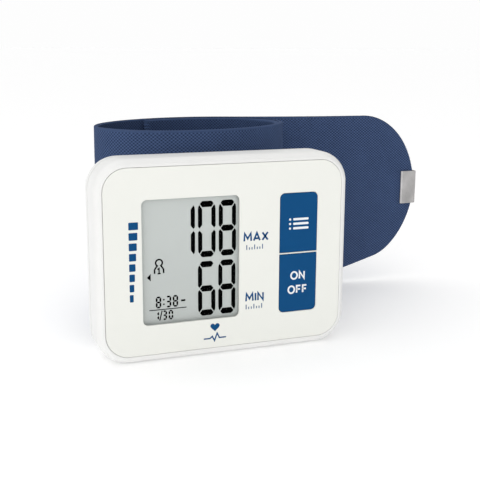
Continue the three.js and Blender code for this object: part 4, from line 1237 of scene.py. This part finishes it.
def gauge():
    """A level scale: bars that widen upwards."""
    pitch = (GAUGE_TOP - GAUGE_BOTTOM) / GAUGE_BARS
    bars = []
    for i in range(GAUGE_BARS):
        width = GAUGE_NARROW + (GAUGE_WIDE - GAUGE_NARROW) * i / (GAUGE_BARS - 1)
        bottom = GAUGE_BOTTOM + i * pitch
        bar = Rect(GAUGE_LEFT, bottom, GAUGE_LEFT + width, bottom + GAUGE_FILL * pitch)
        bars.append(bar.rounded(GAUGE_CORNER, 4))
    return bars


def heart(rect):
    """The usual heart curve, by its formula."""
    points = []
    for i in range(HEART_POINTS):
        t = math.tau * i / HEART_POINTS
        wave = 13 * math.cos(t) - 5 * math.cos(2 * t) - 2 * math.cos(3 * t) - math.cos(4 * t)
        points.append((16 * math.sin(t) ** 3 / 32 + 0.5, (wave + 17) / 29))
    return rect.spread(points)


def pulse(rect):
    """A short trace of a beat."""
    trace = [(0, 0.35), (0.28, 0.35), (0.38, 0.62), (0.48, 0.0), (0.6, 1.0), (0.7, 0.35), (1, 0.35)]
    return stroke(rect.spread(trace), PULSE_BREADTH)


def ticks(rect):
    """A short ruled scale."""
    pitch = (rect.x1 - rect.x0) / (TICKS - 1)
    lines = []
    for i in range(TICKS):
        x = rect.x0 + i * pitch
        top = rect.z1 if i % 3 == 0 else (rect.z0 + rect.z1) / 2
        lines.append(Rect(x - TICK_BREADTH / 2, rect.z0, x + TICK_BREADTH / 2, top).rounded(0))
    return lines


class MONITOR_OT_print(bpy.types.Operator):
    """Generic marks printed on the panel"""

    bl_idname = "monitor.print"
    bl_label = "Panel print"

    def execute(self, context):
        look = context.scene.monitor_casing
        blue = printed("panel print", look.key_colour)
        signs = gauge() + [heart(HEART_PLACE)] + pulse(PULSE_PLACE)
        for place in TICK_PLACES:
            signs += ticks(place)
        for text, place in WORD_PLACES.items():
            signs += words(text, place)
        dress(ink("panel_marks", signs, PANEL_LOW.y), blue, "casing")
        return {"FINISHED"}


# Parts inside the casing

CELL_EDGE, CELL_STEPS = 0.5 * MM, 5
CELL_CRIMP, CELL_COLLAR = 1.6 * MM, 2.6 * MM
JACKET_LAP = 1.4 * MM
NUB_RADIUS, NUB_RISE, NUB_EDGE = 1.9 * MM, 1.0 * MM, 0.2 * MM
CONTACT_THICK = 0.5 * MM
WIRE_RADIUS = 0.35 * MM
COIL_TURNS, COIL_STEPS = 3, 24
COIL_FOOT, COIL_TIP = 3.6 * MM, 2.4 * MM
COIL_SEAT = CONTACT_THICK + 0.6 * WIRE_RADIUS


def cell(number, jacket, steel):
    """A dry cell: a wrapped jacket and steel ends."""
    low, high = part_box(f"battery_{number}")
    up = number == 1
    radius = (high.x - low.x) / 2
    length = high.z - low.z
    foot = Vector(((low.x + high.x) / 2, (low.y + high.y) / 2, low.z if up else high.z))
    side = radius - CELL_EDGE
    top = length - NUB_RISE
    arc = [(CELL_EDGE * math.sin(a), CELL_EDGE * (1 - math.cos(a))) for a in quarter(CELL_STEPS)]
    profile = [(radius - CELL_CRIMP, 0), (side, 0)]
    profile += [(side + x, z) for x, z in arc]
    profile += [(side + x, top - z) for x, z in reversed(arc)]
    profile += [(CELL_COLLAR, top), (NUB_RADIUS, top)]
    profile += [(NUB_RADIUS, length - NUB_EDGE), (NUB_RADIUS - NUB_EDGE, length)]
    made = lathe(f"cell_{number}", profile, foot, (0, 0, 1 if up else -1))
    dress(made, jacket, "casing", [f"battery_{number}"])
    made.data.materials.append(steel)
    for polygon in made.data.polygons:
        middle = polygon.center - foot
        polygon.material_index = int(math.hypot(middle.x, middle.y) < radius - JACKET_LAP)
    return smooth(made)


def contact_spring(number, steel):
    """Spring contact: a plate with a tapering coil of round wire."""
    low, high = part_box(f"contact_spring_{number}")
    up = number == 1
    middle = Vector(((low.x + high.x) / 2, (low.y + high.y) / 2, 0))
    root, way = (low.z, 1) if up else (high.z, -1)
    rise = high.z - low.z - WIRE_RADIUS - COIL_SEAT
    curve = bpy.data.curves.new("coil", "CURVE")
    curve.dimensions = "3D"
    curve.bevel_depth = WIRE_RADIUS / MM
    curve.bevel_resolution = 2
    curve.use_fill_caps = True
    spline = curve.splines.new("POLY")
    spline.points.add(COIL_TURNS * COIL_STEPS)
    for i, point in enumerate(spline.points):
        angle = math.tau * i / COIL_STEPS
        share = i / (COIL_TURNS * COIL_STEPS)
        radius = COIL_FOOT + (COIL_TIP - COIL_FOOT) * share
        height = root + way * (COIL_SEAT + rise * share)
        place = middle + Vector((radius * math.cos(angle), radius * math.sin(angle), height))
        point.co = (*(place / MM), 1)
    coil = curve_mesh(curve, Matrix.Scale(MM, 4))
    bottom, top = sorted((root, root + way * CONTACT_THICK))
    plate = box("plate", Rect(low.x, bottom, high.x, top), low.y, high.y)
    mesh = plate.data
    bpy.data.objects.remove(plate)
    made = gathered(f"spring_contact_{number}", [coil, mesh])
    return dress(smooth(made), steel, "casing", [f"contact_spring_{number}"])


class MONITOR_OT_inside(bpy.types.Operator):
    """Cells, contacts, board, pump, valve and hoses"""

    bl_idname = "monitor.inside"
    bl_label = "Inside"

    def execute(self, context):
        steel = plated_steel()
        jacket = moulded("cell jacket", (0.05, 0.055, 0.06), 0.34, mottle=0.2)
        dark = moulded("dark plastic", (0.02, 0.02, 0.024), 0.45, mottle=0.15)
        hose = moulded("silicone", (0.66, 0.67, 0.64), 0.55, mottle=0.06)
        for number in (1, 2):
            cell(number, jacket, steel)
            contact_spring(number, steel)
        paint(["contact_plate_1", "contact_plate_2", "pump_motor"], steel)
        paint([f"plate_screw_{i}" for i in range(1, 5)], steel)
        paint(["connector_strip_1", "connector_strip_2"], dark_rubber())
        paint(["hose_pump", "hose_valve", "hose_cuff", "hose_sensor"], hose)
        paint(["air_tee", "cuff_plate", "cuff_port"], inner_plastic())
        paint([
            "lcd_frame", "memory_stem", "memory_switch", "start_stem", "start_switch", "controller_chip",
            "pressure_sensor", "buzzer", "pump_head", "exhaust_valve",
        ], dark)
        paint(["main_board"], circuit_board())
        return {"FINISHED"}


# Cuff and strap

CLOTH_THICK, CLOTH_RIM, CLOTH_SLACK = 0.5 * MM, 0.7 * MM, 0.3 * MM
STRAP_CLOTH = 0.35 * MM
LINING_INSET, LINING_SLACK, STRAP_LINING_SLACK = 0.15 * MM, 0.25 * MM, 0.1 * MM
STIFF_FROM, STIFF_THICK, STIFF_INSET, STIFF_EDGE = 1.2 * MM, 0.6 * MM, 2.0 * MM, 0.1 * MM
# Fuller padding at the two turns: middle and reach in degrees
SWELL = 1.6 * MM
SWELL_TURNS = ((195, 40), (352, 45))
# Columns of points, from an edge inwards and between the edges
EDGE_COLUMNS = np.array([0, 0.02, 0.06, 0.13, 0.24, 0.4, 0.7, 1.2, 2.0, 3.0]) * MM
MIDDLE_COLUMNS = 22
# Height of the turn at an edge, as a share of its breadth
TURN_RISE = 0.4
# Stations along the loop, in degrees apart, and along the tail, the nose and the rest of it
STATION_STEP = 2.0
TAIL_STEPS, NOSE_STATIONS, PLAIN_STATIONS = 600, 30, 60
NOSE_START = 0.012
# Waves of the slack cloth: length along the band and height over which each sways
LONG_WAVE, LONG_SWAY = 47.0 * MM, 83.0 * MM
SHORT_WAVE, SHORT_SWAY = 19.0 * MM, 61.0 * MM
BAG_STEP, BAG_COLUMNS = 4.0, 24
BAG_EDGE, BAG_DEPTH, BAG_HALF, BAG_WELD = 6.0 * MM, 1.55 * MM, 0.4 * MM, 0.06 * MM
TAPE_STATIONS = 21
TAPE_FROM, TAPE_THICK, TAPE_EDGE = HOOK_FROM + 0.55 * MM, 0.4 * MM, 0.15 * MM
HOOK_RISE, HOOK_REACH, HOOK_CURL = 0.5 * MM, 0.352 * MM, 1.35
HOOK_WIRE, HOOK_RINGS, HOOK_THINNING, HOOK_LEAST = 0.07 * MM, 6, 0.08, 0.85
HOOK_PITCH, HOOK_SHIFT = 1.25 * MM, 0.6 * MM
# Bare margins of the hooks: start and end along the tape, lower and upper edge
HOOK_ENDS, HOOK_SIDES = (1.5 * MM, 1.4 * MM), (1.6 * MM, 1.5 * MM)
STITCH_HALF, STITCH_FAT, STITCH_SINK, STITCH_LIFT = 0.75 * MM, 0.16 * MM, 0.1 * MM, 0.05 * MM
STITCH_PITCH, STITCH_INSET, STITCH_LEAST = 2.2 * MM, 0.8 * MM, 0.9
STITCH_RINGS, STITCH_SIDES, STITCH_END = 7, 6, 0.02
TAB_HEM, TAB_LIP, TAB_SINK, TAB_EDGE = 0.65 * MM, 0.15 * MM, 0.02 * MM, 0.12 * MM
TAB_FLAT, TAB_LEAD, TAB_FOLD, TAB_STEPS = 1.1 * MM, 0.3 * MM, 1.1 * MM, 8


def lengths(places):
    """Length along a line of places, at each of them."""
    return np.concatenate([[0], np.cumsum(np.linalg.norm(np.diff(places, axis=0), axis=1))])


class Run:
    """Plan-view path of a band: stations on its outer skin, with inward normals and arc length."""

    def __init__(self, places, normals, low, high, way=1):
        self.places, self.normals, self.low, self.high = places, normals, low, high
        self.along = way * lengths(places)

    def length(self):
        return abs(self.along[-1] - self.along[0])

    def at(self, along):
        """Place and inward normal at a length along it."""
        rows = np.concatenate([self.places, self.normals], 1).T
        found = [np.interp(along, self.along, row) for row in rows]
        return found[:2], found[2:]

    def points(self, depth, heights):
        """Grid of points at depths under the skin."""
        plan = self.places[:, None, :] + self.normals[:, None, :] * depth[..., None]
        return np.concatenate([plan, np.broadcast_to(heights, depth.shape)[..., None]], -1)


def turned(look, points):
    """Plan-view points, turned with the oval."""
    c, s = math.cos(look.loop_turn), math.sin(look.loop_turn)
    return points @ np.array([[c, s], [-s, c]])


def oval(look, degrees, inward=0.0):
    """Places and inward normals on the oval at angles in degrees."""
    a, b = look.loop_long, look.loop_short
    t = np.radians(np.asarray(degrees, float))
    c, s = math.cos(look.loop_turn), math.sin(look.loop_turn)
    middle = np.array([CUFF_LOW.x + math.hypot(a * c, b * s), CUFF_LOW.y + math.hypot(a * s, b * c)])
    flat = np.stack([a * np.cos(t), b * np.sin(t)], -1)
    way = np.stack([-a * np.sin(t), b * np.cos(t)], -1)
    way /= np.linalg.norm(way, axis=1, keepdims=True)
    normals = turned(look, np.stack([-way[:, 1], way[:, 0]], -1))
    return middle + turned(look, flat) + normals * np.reshape(inward, (-1, 1)), normals


def ease(values, start, end):
    """Smooth rise from 0 to 1 between two values."""
    share = np.clip((np.asarray(values, float) - start) / (end - start), 0, 1)
    return share * share * (3 - 2 * share)


def cuff_run(look, start, end, step=STATION_STEP):
    """Fixed part of the loop, which draws in where the strap wraps over it."""
    degrees = np.linspace(start, end, int(abs(end - start) / step) + 1)
    places, normals = oval(look, degrees, WRAP * ease(degrees, WRAP_START, WRAP_END))
    full = np.full(len(degrees), CUFF_WIDTH)
    return Run(places, normals, 0 * full, full, way=-1)


def tongue_edges(from_tip):
    """Lower and upper edge of the tongue, at distances from its tip."""
    over, under = (
        np.sqrt(1 - (np.clip(length - from_tip, 0, None) / length) ** 2)
        for length in (TONGUE_NOSE, TONGUE_UNDER)
    )
    rise = 1 - from_tip / TONGUE_TAPER
    soft = np.clip(rise + TONGUE_SOFT, 0, None) ** 2 / (4 * TONGUE_SOFT)
    base = TONGUE_STEP * np.where(rise > TONGUE_SOFT, rise, soft)
    low = TONGUE_MIDDLE - (TONGUE_MIDDLE - base) * under
    return low, TONGUE_MIDDLE + (CUFF_WIDTH - TONGUE_MIDDLE) * over


def tail_points(look):
    """Curve of the tail, from where it leaves the loop to its tip."""
    (leave,), (normal,) = oval(look, [LEAVE])
    way = np.array([-normal[1], normal[0]])
    tip = leave + np.array([TAIL_SPAN, -TAIL_DROP])
    hold = [leave, leave + way * TAIL_LEAD, tip - np.array([TAIL_RUN, 0]), tip]
    u = np.linspace(0, 1, TAIL_STEPS)[:, None]
    weights = [(1 - u) ** 3, 3 * u * (1 - u) ** 2, 3 * u * u * (1 - u), u ** 3]
    return sum(weight * point for weight, point in zip(weights, hold))


def strap_run(look):
    """From the split on the left, over the hinge and the back, to the tip of the tongue."""
    degrees = np.linspace(SPLIT, LEAVE, int((SPLIT - LEAVE) / STATION_STEP) + 1)
    loop, loop_normals = oval(look, degrees)
    curve = tail_points(look)
    marks = lengths(curve)
    length = marks[-1]
    nose = TONGUE_NOSE * (1 - np.cos(np.linspace(NOSE_START, math.pi / 2, NOSE_STATIONS)))
    plain = np.linspace(TONGUE_NOSE, length, PLAIN_STATIONS)[1:-1]
    from_tip = np.concatenate([nose, plain])[::-1]
    at = length - from_tip
    places = np.stack([np.interp(at, marks, curve[:, i]) for i in range(2)], -1)
    ways = np.stack([np.interp(at, marks, np.gradient(curve[:, i], marks)) for i in range(2)], -1)
    ways /= np.linalg.norm(ways, axis=1, keepdims=True)
    normals = np.stack([ways[:, 1], -ways[:, 0]], -1)
    low, high = tongue_edges(from_tip)
    full = np.full(len(degrees), CUFF_WIDTH)
    return Run(
        np.concatenate([loop, places]), np.concatenate([loop_normals, normals]),
        np.concatenate([0 * full, low]), np.concatenate([full, high]),
    ), len(degrees)


def edge_distance(stations, low, high, along, heights):
    """Distance of each point of the flat cut to its two edges and its free end."""
    end_line = [[stations[-1], low[-1]], [stations[-1], high[-1]]]
    edges = [np.stack([stations, edge], -1) for edge in (low, high)] + [np.array(end_line)]
    points = np.stack([along.ravel(), heights.ravel()], -1)
    best = np.full(len(points), np.inf)
    for edge in edges:
        for start, end in zip(edge[:-1], edge[1:]):
            way = end - start
            share = np.clip((points - start) @ way / max(way @ way, MERGE ** 2), 0, 1)
            best = np.minimum(best, np.linalg.norm(points - start - share[:, None] * way, axis=1))
    return best.reshape(along.shape)


def rolled(distance, breadth):
    """How far a cloth has turned in, at a distance from its edge."""
    near = 1 - np.minimum(distance / (TURN_RISE * breadth), 1)
    return breadth * (1 - np.sqrt(1 - near ** 2))


def ripple(along, heights):
    """Slight slackness of the cloth, in shares of its depth."""
    wave = np.sin(along * math.tau / LONG_WAVE + 1.6 * np.sin(heights * math.tau / LONG_SWAY))
    fine = np.sin(along * math.tau / SHORT_WAVE + heights * math.tau / SHORT_SWAY + 0.7)
    return 0.5 + 0.34 * wave + 0.16 * fine


def layered(name, outer, inner):
    """Closed skin of two grids of points, one under the other, joined round their rim."""
    rows, columns, _ = outer.shape
    count = rows * columns
    grid = np.arange(count).reshape(rows, columns)
    quads = np.stack([grid[:-1, :-1], grid[:-1, 1:], grid[1:, 1:], grid[1:, :-1]], -1).reshape(-1, 4)
    rim = np.concatenate([grid[0], grid[1:, -1], grid[-1, -2::-1], grid[-2:0:-1, 0]])
    after = np.roll(rim, -1)
    sides = np.stack([after, rim, rim + count, after + count], -1)
    faces = np.concatenate([quads, quads[:, ::-1] + count, sides])
    points = np.concatenate([outer, inner]).reshape(-1, 3)
    return closed(mesh_of(name, points, faces.tolist()), merge=False)


def lay_flat(mesh, cut):
    """Stores the flat cut, in millimetres, as the mesh's own map."""
    layer = mesh.uv_layers.new(name="cut")
    corners = np.zeros(len(mesh.loops), int)
    mesh.loops.foreach_get("vertex_index", corners)
    layer.data.foreach_set("uv", cut[corners].astype(np.float32).ravel())


def cloth_sheet(name, run, edge, thick, inside=None, inset=0.0, slack=0.0):
    """Closed sheet wrapped along a run, its free edges rolled towards its partner sheet.

    The outside sheet rolls inwards from the skin; a sheet with a depth given as inside is the
    partner, and rolls outwards from that depth. Gives the piece, its flat size and its area.
    """
    low, high = run.low + inset, run.high - inset
    middle = np.linspace(EDGE_COLUMNS[-1], CUFF_WIDTH - EDGE_COLUMNS[-1], MIDDLE_COLUMNS)
    shares = np.concatenate([EDGE_COLUMNS[:-1], middle, CUFF_WIDTH - EDGE_COLUMNS[-2::-1]]) / CUFF_WIDTH
    along = np.repeat(run.along[:, None], len(shares), 1)
    heights = low[:, None] + (high - low)[:, None] * shares
    turn = rolled(edge_distance(run.along, low, high, along, heights), edge)
    slackness = slack * ripple(along, heights) * np.clip(1 - turn / edge, 0, 1)
    if inside is None:
        outer = turn + slackness
    else:
        outer = np.reshape(inside, (-1, 1)) - turn - thick - slackness
    mesh = layered(name, run.points(outer, heights), run.points(outer + thick, heights))
    over = heights + np.where(shares > 0.5, turn, -turn)
    cut = np.stack([along.ravel(), over.ravel()], -1) / MM
    lay_flat(mesh, np.concatenate([cut, cut]))
    piece = smooth(link(name, mesh), SOFT_ANGLE, weighted=False)
    widths = high - low
    area = float((np.abs(np.diff(run.along)) * (widths[:-1] + widths[1:]) / 2).sum())
    return piece, (float(CUFF_WIDTH - 2 * inset), run.length()), area


def bend(piece, material, slot, node):
    """A piece of the strap's cloth: it is given its material, its place is baked into its mesh and the
    solid that it stands for is hidden.
    """
    piece.data.materials.append(material)
    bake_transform(piece)
    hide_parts(node)


def wall_depth(degrees):
    """Depth of the padded wall from its outer skin, at angles round the oval."""
    depth = np.full(len(degrees), CUFF_THICK)
    for middle, reach in SWELL_TURNS:
        near = np.clip(np.abs(degrees - middle) / reach, 0, 1)
        depth += SWELL * np.cos(near * math.pi / 2) ** 2
    return depth


def stiffener(look):
    """Thin springy sheet that keeps the free end round."""
    run = cuff_run(look, STIFF_START, STIFF_END)
    inner = Run(run.places + run.normals * STIFF_FROM, run.normals, run.low, run.high)
    piece, _, _ = cloth_sheet("cuff_spring_sheet", inner, STIFF_EDGE, STIFF_THICK, inset=STIFF_INSET)
    dress(piece, inner_plastic(), "casing", ["cuff_stiffener"])


def air_bag(look):
    """Flat air bag between cloth and lining, its edges welded."""
    run = cuff_run(look, BLADDER_START, BLADDER_END, BAG_STEP)
    heights = np.linspace(BLADDER_INSET, CUFF_WIDTH - BLADDER_INSET, BAG_COLUMNS)
    edges = np.minimum(heights - heights[0], heights[-1] - heights)
    ends = np.minimum(run.along.max() - run.along, run.along - run.along.min())
    across = np.sin(np.minimum(edges / BAG_EDGE, 1) * math.pi / 2)
    half = BAG_WELD + BAG_HALF * np.sqrt(np.minimum(ends / BAG_EDGE, 1))[:, None] * across
    layers = [run.points(BAG_DEPTH + side * half, heights) for side in (-1, 1)]
    piece = smooth(link("air_bag", layered("air_bag", *layers)), SOFT_ANGLE, weighted=False)
    dress(piece, dark_rubber(), "casing", ["air_bladder"])


def hook():
    """One hook of square wire that thins towards its end."""
    rings = []
    for i in range(HOOK_RINGS):
        angle = i / (HOOK_RINGS - 1) * HOOK_CURL * math.pi / 2
        x = HOOK_REACH * (1 - math.cos(angle))
        z = HOOK_RISE * math.sin(min(angle, math.pi / 2))
        half = HOOK_WIRE * (1 - HOOK_THINNING * i)
        rings.append([(x + half * dx, half * dy, z) for dx, dy in SQUARE])
    return loft("hook", rings)


def hook_field(run, tape):
    """Rows of hooks, every other row shifted and turned the other way."""
    marks = np.arange(run.along[0] + HOOK_ENDS[0], run.along[-1] - HOOK_ENDS[1], HOOK_PITCH)
    rows = np.arange(run.low[0] + HOOK_SIDES[0], run.high[0] - HOOK_SIDES[1], HOOK_PITCH)
    points, ups, alongs = [], [], []
    for i, mark in enumerate(marks):
        (x, y), (nx, ny) = run.at(mark)
        for z in rows + (i % 2) * HOOK_SHIFT:
            points.append((x, y, z))
            ups.append((-nx, -ny, 0))
            alongs.append((ny, -nx, 0) if i % 2 else (-ny, nx, 0))
    return smooth(repeated("hook_field", hook(), points, ups, alongs, tape, HOOK_LEAST), weighted=False)


def stitch():
    """One plump stitch, its ends drawn into the cloth."""
    angles = [math.tau * k / STITCH_SIDES for k in range(STITCH_SIDES)]
    rings = []
    for i in range(STITCH_RINGS):
        share = i / (STITCH_RINGS - 1) * 2 - 1
        radius = STITCH_FAT * math.sqrt(max(1 - share ** 2, STITCH_END))
        height = -STITCH_SINK * share ** 2
        rings.append([
            (STITCH_HALF * share, radius * math.cos(a), height + radius * math.sin(a)) for a in angles
        ])
    return loft("stitch", rings)


def stitches(run, thread):
    """A line of stitches round the edge of the hook tape."""
    first, last = run.along[0] + STITCH_INSET, run.along[-1] - STITCH_INSET
    low, high = run.low[0] + STITCH_INSET, run.high[0] - STITCH_INSET
    level = np.arange(first + STITCH_PITCH / 2, last, STITCH_PITCH)
    upright = np.arange(low + STITCH_PITCH / 2, high, STITCH_PITCH)
    spots = [(mark, z, False) for mark in level for z in (low, high)]
    spots += [(mark, z, True) for z in upright for mark in (first, last)]
    points, ups, alongs = [], [], []
    for mark, z, stands in spots:
        (x, y), (nx, ny) = run.at(mark)
        points.append((x - nx * STITCH_LIFT, y - ny * STITCH_LIFT, z))
        ups.append((-nx, -ny, 0))
        alongs.append((0, 0, 1) if stands else (-ny, nx, 0))
    made = repeated("hook_stitches", stitch(), points, ups, alongs, thread, STITCH_LEAST)
    return smooth(made, weighted=False)


def hook_tape(look):
    """Hook tape: a thin ground, rows of small hooks and a line of stitches round its edge."""
    tape = brushed("hook tape", (0.012, 0.014, 0.02), 0.3 * MM, 0.05 * MM)
    darker = [0.8 * channel for channel in look.cloth_colour]
    thread = brushed("thread", darker, 0.2 * MM, 0.05 * MM)
    degrees = np.linspace(HOOK_START, HOOK_END, TAPE_STATIONS)
    places, normals = oval(look, degrees, TAPE_FROM)
    top = np.full(len(degrees), CUFF_WIDTH - HOOK_INSET)
    run = Run(places, normals, CUFF_WIDTH - top, top)
    piece, flat, area = cloth_sheet("hook_ground", run, TAPE_EDGE, TAPE_THICK)
    dress(piece, tape, "casing", ["hook_patch"])
    flat = (CUFF_WIDTH - 2 * HOOK_INSET, flat[1])
    dress(hook_field(run, tape), tape, "casing")
    dress(stitches(run, thread), thread, "casing")


class MONITOR_OT_cuff(bpy.types.Operator):
    """Fixed part of the cuff: cloth, lining, bladder and hook patch"""

    bl_idname = "monitor.cuff"
    bl_label = "Cuff"

    def execute(self, context):
        look = context.scene.monitor_cuff
        repeat = (look.weave_pitch, look.weave_rise)
        # The lining's colour is the cloth's, a trace darker as painted shade.
        lining = woven("cuff lining", look.shaded_lining_colour, repeat, rim=CLOTH_RIM)
        run = cuff_run(look, SPLIT, INNER_END)
        wall = wall_depth(np.linspace(SPLIT, INNER_END, len(run.along)))
        edge = (wall / 2 - CLOTH_THICK)[:, None]
        piece, flat, area = cloth_sheet("cuff_cloth", run, edge, CLOTH_THICK, slack=CLOTH_SLACK)
        dress(piece, cuff_cloth(look), "casing", ["cuff_cover"])
        piece, flat, area = cloth_sheet(
            "cuff_inner_cloth", run, edge, CLOTH_THICK, wall, LINING_INSET, LINING_SLACK,
        )
        dress(piece, lining, "casing", ["cuff_lining"])
        stiffener(look)
        air_bag(look)
        hook_tape(look)
        return {"FINISHED"}


def pull_tab(look):
    """Grey tape folded over the tip of the tongue."""
    # The tape's hem carries a painted highlight, a paler strip as wide as the hem.
    grey = woven(
        "tab tape", look.tab_colour, (0.9 * MM, 0.5 * MM),
        depth=0.03 * MM, contrast=0.3, tones=(0.35, 1.5), painted_highlight=TAB_HEM,
    )
    start, turn = TAB_LOW.x, TAB_HIGH.x - TAB_FOLD
    side = [(start, TAB_LIP), (start + TAB_HEM, TAB_SINK), (start + TAB_FLAT, 0), (turn - TAB_LEAD, 0)]
    side += [(turn + TAB_FOLD * math.sin(a), TAB_FOLD * (1 - math.cos(a))) for a in quarter(TAB_STEPS)]
    outer = [(x, TAB_LOW.y + deep) for x, deep in side]
    outer += [(x, TAB_HIGH.y - deep) for x, deep in reversed(side)]
    places = np.array(outer)
    ways = np.gradient(places, axis=0)
    ways /= np.linalg.norm(ways, axis=1, keepdims=True)
    normals = np.stack([-ways[:, 1], ways[:, 0]], -1)
    low, high = (np.full(len(places), z) for z in (TAB_LOW.z, TAB_HIGH.z))
    piece, flat, _ = cloth_sheet("tab_tape", Run(places, normals, low, high), TAB_EDGE, TAB_THICK)
    dress(piece, grey, "strap", ["pull_tab"])


class MONITOR_OT_strap(bpy.types.Operator):
    """Strap with its tongue and pull tab, which opens the cuff"""

    bl_idname = "monitor.strap"
    bl_label = "Strap"

    def execute(self, context):
        look = context.scene.monitor_cuff
        cloth = cuff_cloth(look)
        run, loop = strap_run(look)
        degrees = np.full(len(run.along), float(LEAVE))
        degrees[:loop] = np.linspace(SPLIT, LEAVE, loop)
        thin = ease(-degrees, -THIN_START, -THIN_END)
        thick = CLOTH_THICK + (STRAP_CLOTH - CLOTH_THICK) * thin[:, None]
        wall = wall_depth(degrees)
        depth = wall + (STRAP_THICK - wall) * thin
        edge = depth[:, None] / 2 - thick
        piece, flat, area = cloth_sheet("strap_cloth", run, edge, thick, slack=CLOTH_SLACK)
        bend(piece, cloth, "cuff_cloth", "strap_cover")
        piece, flat, area = cloth_sheet(
            "strap_inner_cloth", run, edge, thick, depth, LINING_INSET, STRAP_LINING_SLACK,
        )
        bend(piece, cloth, "lining_cloth", "strap_lining")
        pull_tab(look)
        return {"FINISHED"}


# Stage

FLOOR_HALF, FLOOR_DROP = 40.0, 0.2 * MM
LIGHT_PLACE, LIGHT_TARGET, LIGHT_SIZE = (-0.2, -0.95, 0.38), (0.02, 0.03, 0.03), (0.9, 0.9)
DIM_SIDE = (0.78, -0.62, 0.0)
HORIZON_FALL = 4.0
NEAREST_SEEN = 0.01


def soft_light(name, place, target, size, power):
    lamp = bpy.data.lights.new(name, "AREA")
    lamp.shape = "RECTANGLE"
    lamp.size, lamp.size_y = size
    lamp.energy = power
    holder = bpy.data.objects.new(name, lamp)
    bpy.context.scene.collection.objects.link(holder)
    holder.visible_camera = False
    holder.location = place
    holder.rotation_euler = (Vector(target) - Vector(place)).to_track_quat("-Z", "Y").to_euler()


class MONITOR_OT_stage(bpy.types.Operator):
    """Floor, light and camera"""

    bl_idname = "monitor.stage"
    bl_label = "Stage"

    def execute(self, context):
        look = context.scene.monitor_stage
        scene = context.scene
        corners = [(x * FLOOR_HALF, y * FLOOR_HALF, -FLOOR_DROP) for x, y in SQUARE]
        floor = link("floor", mesh_of("floor", corners, [(0, 1, 2, 3)]))
        floor.data.materials.append(plain_floor(look))
        scene.world = self.sky(look)
        soft_light("key light", LIGHT_PLACE, LIGHT_TARGET, LIGHT_SIZE, look.key_power)
        scene.view_settings.view_transform = "Standard"
        scene.view_settings.look = "None"
        self.camera(scene)
        return {"FINISHED"}

    def sky(self, look):
        """White light from all round, dimmed on the right of the display, and a plain backdrop."""
        graph = Graph("studio", bpy.data.worlds)
        way = graph.node("ShaderNodeTexCoord", output="Generated")
        height = graph.axes(way)[2].most(0.0)
        side = graph.node(
            "ShaderNodeVectorMath", {"operation": "DOT_PRODUCT"}, {0: way, 1: DIM_SIDE}, output="Value",
        )
        level = look.zenith_glow * height + look.horizon_glow * (1 - height) ** HORIZON_FALL
        white = {"Color": (1.0, 1.0, 1.0, 1.0)}
        light = graph.node("ShaderNodeBackground", None, {
            **white, "Strength": level * (1 - look.sky_dim * side.most(0.0)),
        })
        paper = graph.node("ShaderNodeBackground", None, {**white, "Strength": look.paper_glow})
        seen = graph.node("ShaderNodeLightPath", output="Is Camera Ray")
        both = graph.node("ShaderNodeMixShader", None, {0: seen, 1: light, 2: paper})
        graph.node("ShaderNodeOutputWorld", None, {"Surface": both})
        return graph.material

    def camera(self, scene):
        data = bpy.data.cameras.new("camera")
        data.lens = CAMERA_LENS
        data.sensor_width = CAMERA_SENSOR
        data.clip_start = NEAREST_SEEN
        camera = bpy.data.objects.new("camera", data)
        scene.collection.objects.link(camera)
        level = math.pi / 2 - CAMERA_PITCH
        turn = Matrix.Rotation(-CAMERA_YAW, 4, "Z") @ Matrix.Rotation(level, 4, "X")
        camera.matrix_world = (
            Matrix.Translation(CAMERA_PLACE) @ turn @ Matrix.Rotation(CAMERA_ROLL, 4, "Z")
        )
        scene.camera = camera


class MONITOR_PT_panel(bpy.types.Panel):
    """Lists the operators and what they can be set to"""

    bl_idname = "MONITOR_PT_panel"
    bl_label = "Wrist monitor"
    bl_space_type = "VIEW_3D"
    bl_region_type = "UI"
    bl_category = "Monitor"

    def draw(self, context):
        for operator in OPERATORS:
            self.layout.operator(operator.bl_idname)
        for name in LOOKS:
            group = getattr(context.scene, name)
            column = self.layout.box()
            for label in group.__annotations__:
                column.prop(group, label)


LOOKS = {
    "monitor_casing": CasingLook,
    "monitor_display": DisplayLook,
    "monitor_cuff": CuffLook,
    "monitor_stage": StageLook,
}
OPERATORS = (
    MONITOR_OT_stage,
    MONITOR_OT_casing,
    MONITOR_OT_keys,
    MONITOR_OT_display,
    MONITOR_OT_print,
    MONITOR_OT_inside,
    MONITOR_OT_cuff,
    MONITOR_OT_strap,
)


def register():
    for group in (*LOOKS.values(), *OPERATORS, MONITOR_PT_panel):
        bpy.utils.register_class(group)
    for name, group in LOOKS.items():
        setattr(bpy.types.Scene, name, PointerProperty(type=group))


def unregister():
    for name in LOOKS:
        delattr(bpy.types.Scene, name)
    for group in reversed((*LOOKS.values(), *OPERATORS, MONITOR_PT_panel)):
        bpy.utils.unregister_class(group)


def main():
    register()
    bpy.ops.monitor.stage()
    bpy.ops.monitor.casing()
    bpy.ops.monitor.keys()
    bpy.ops.monitor.display()
    bpy.ops.monitor.print()
    bpy.ops.monitor.inside()
    bpy.ops.monitor.cuff()
    bpy.ops.monitor.strap()


if __name__ == "__main__":
    main()
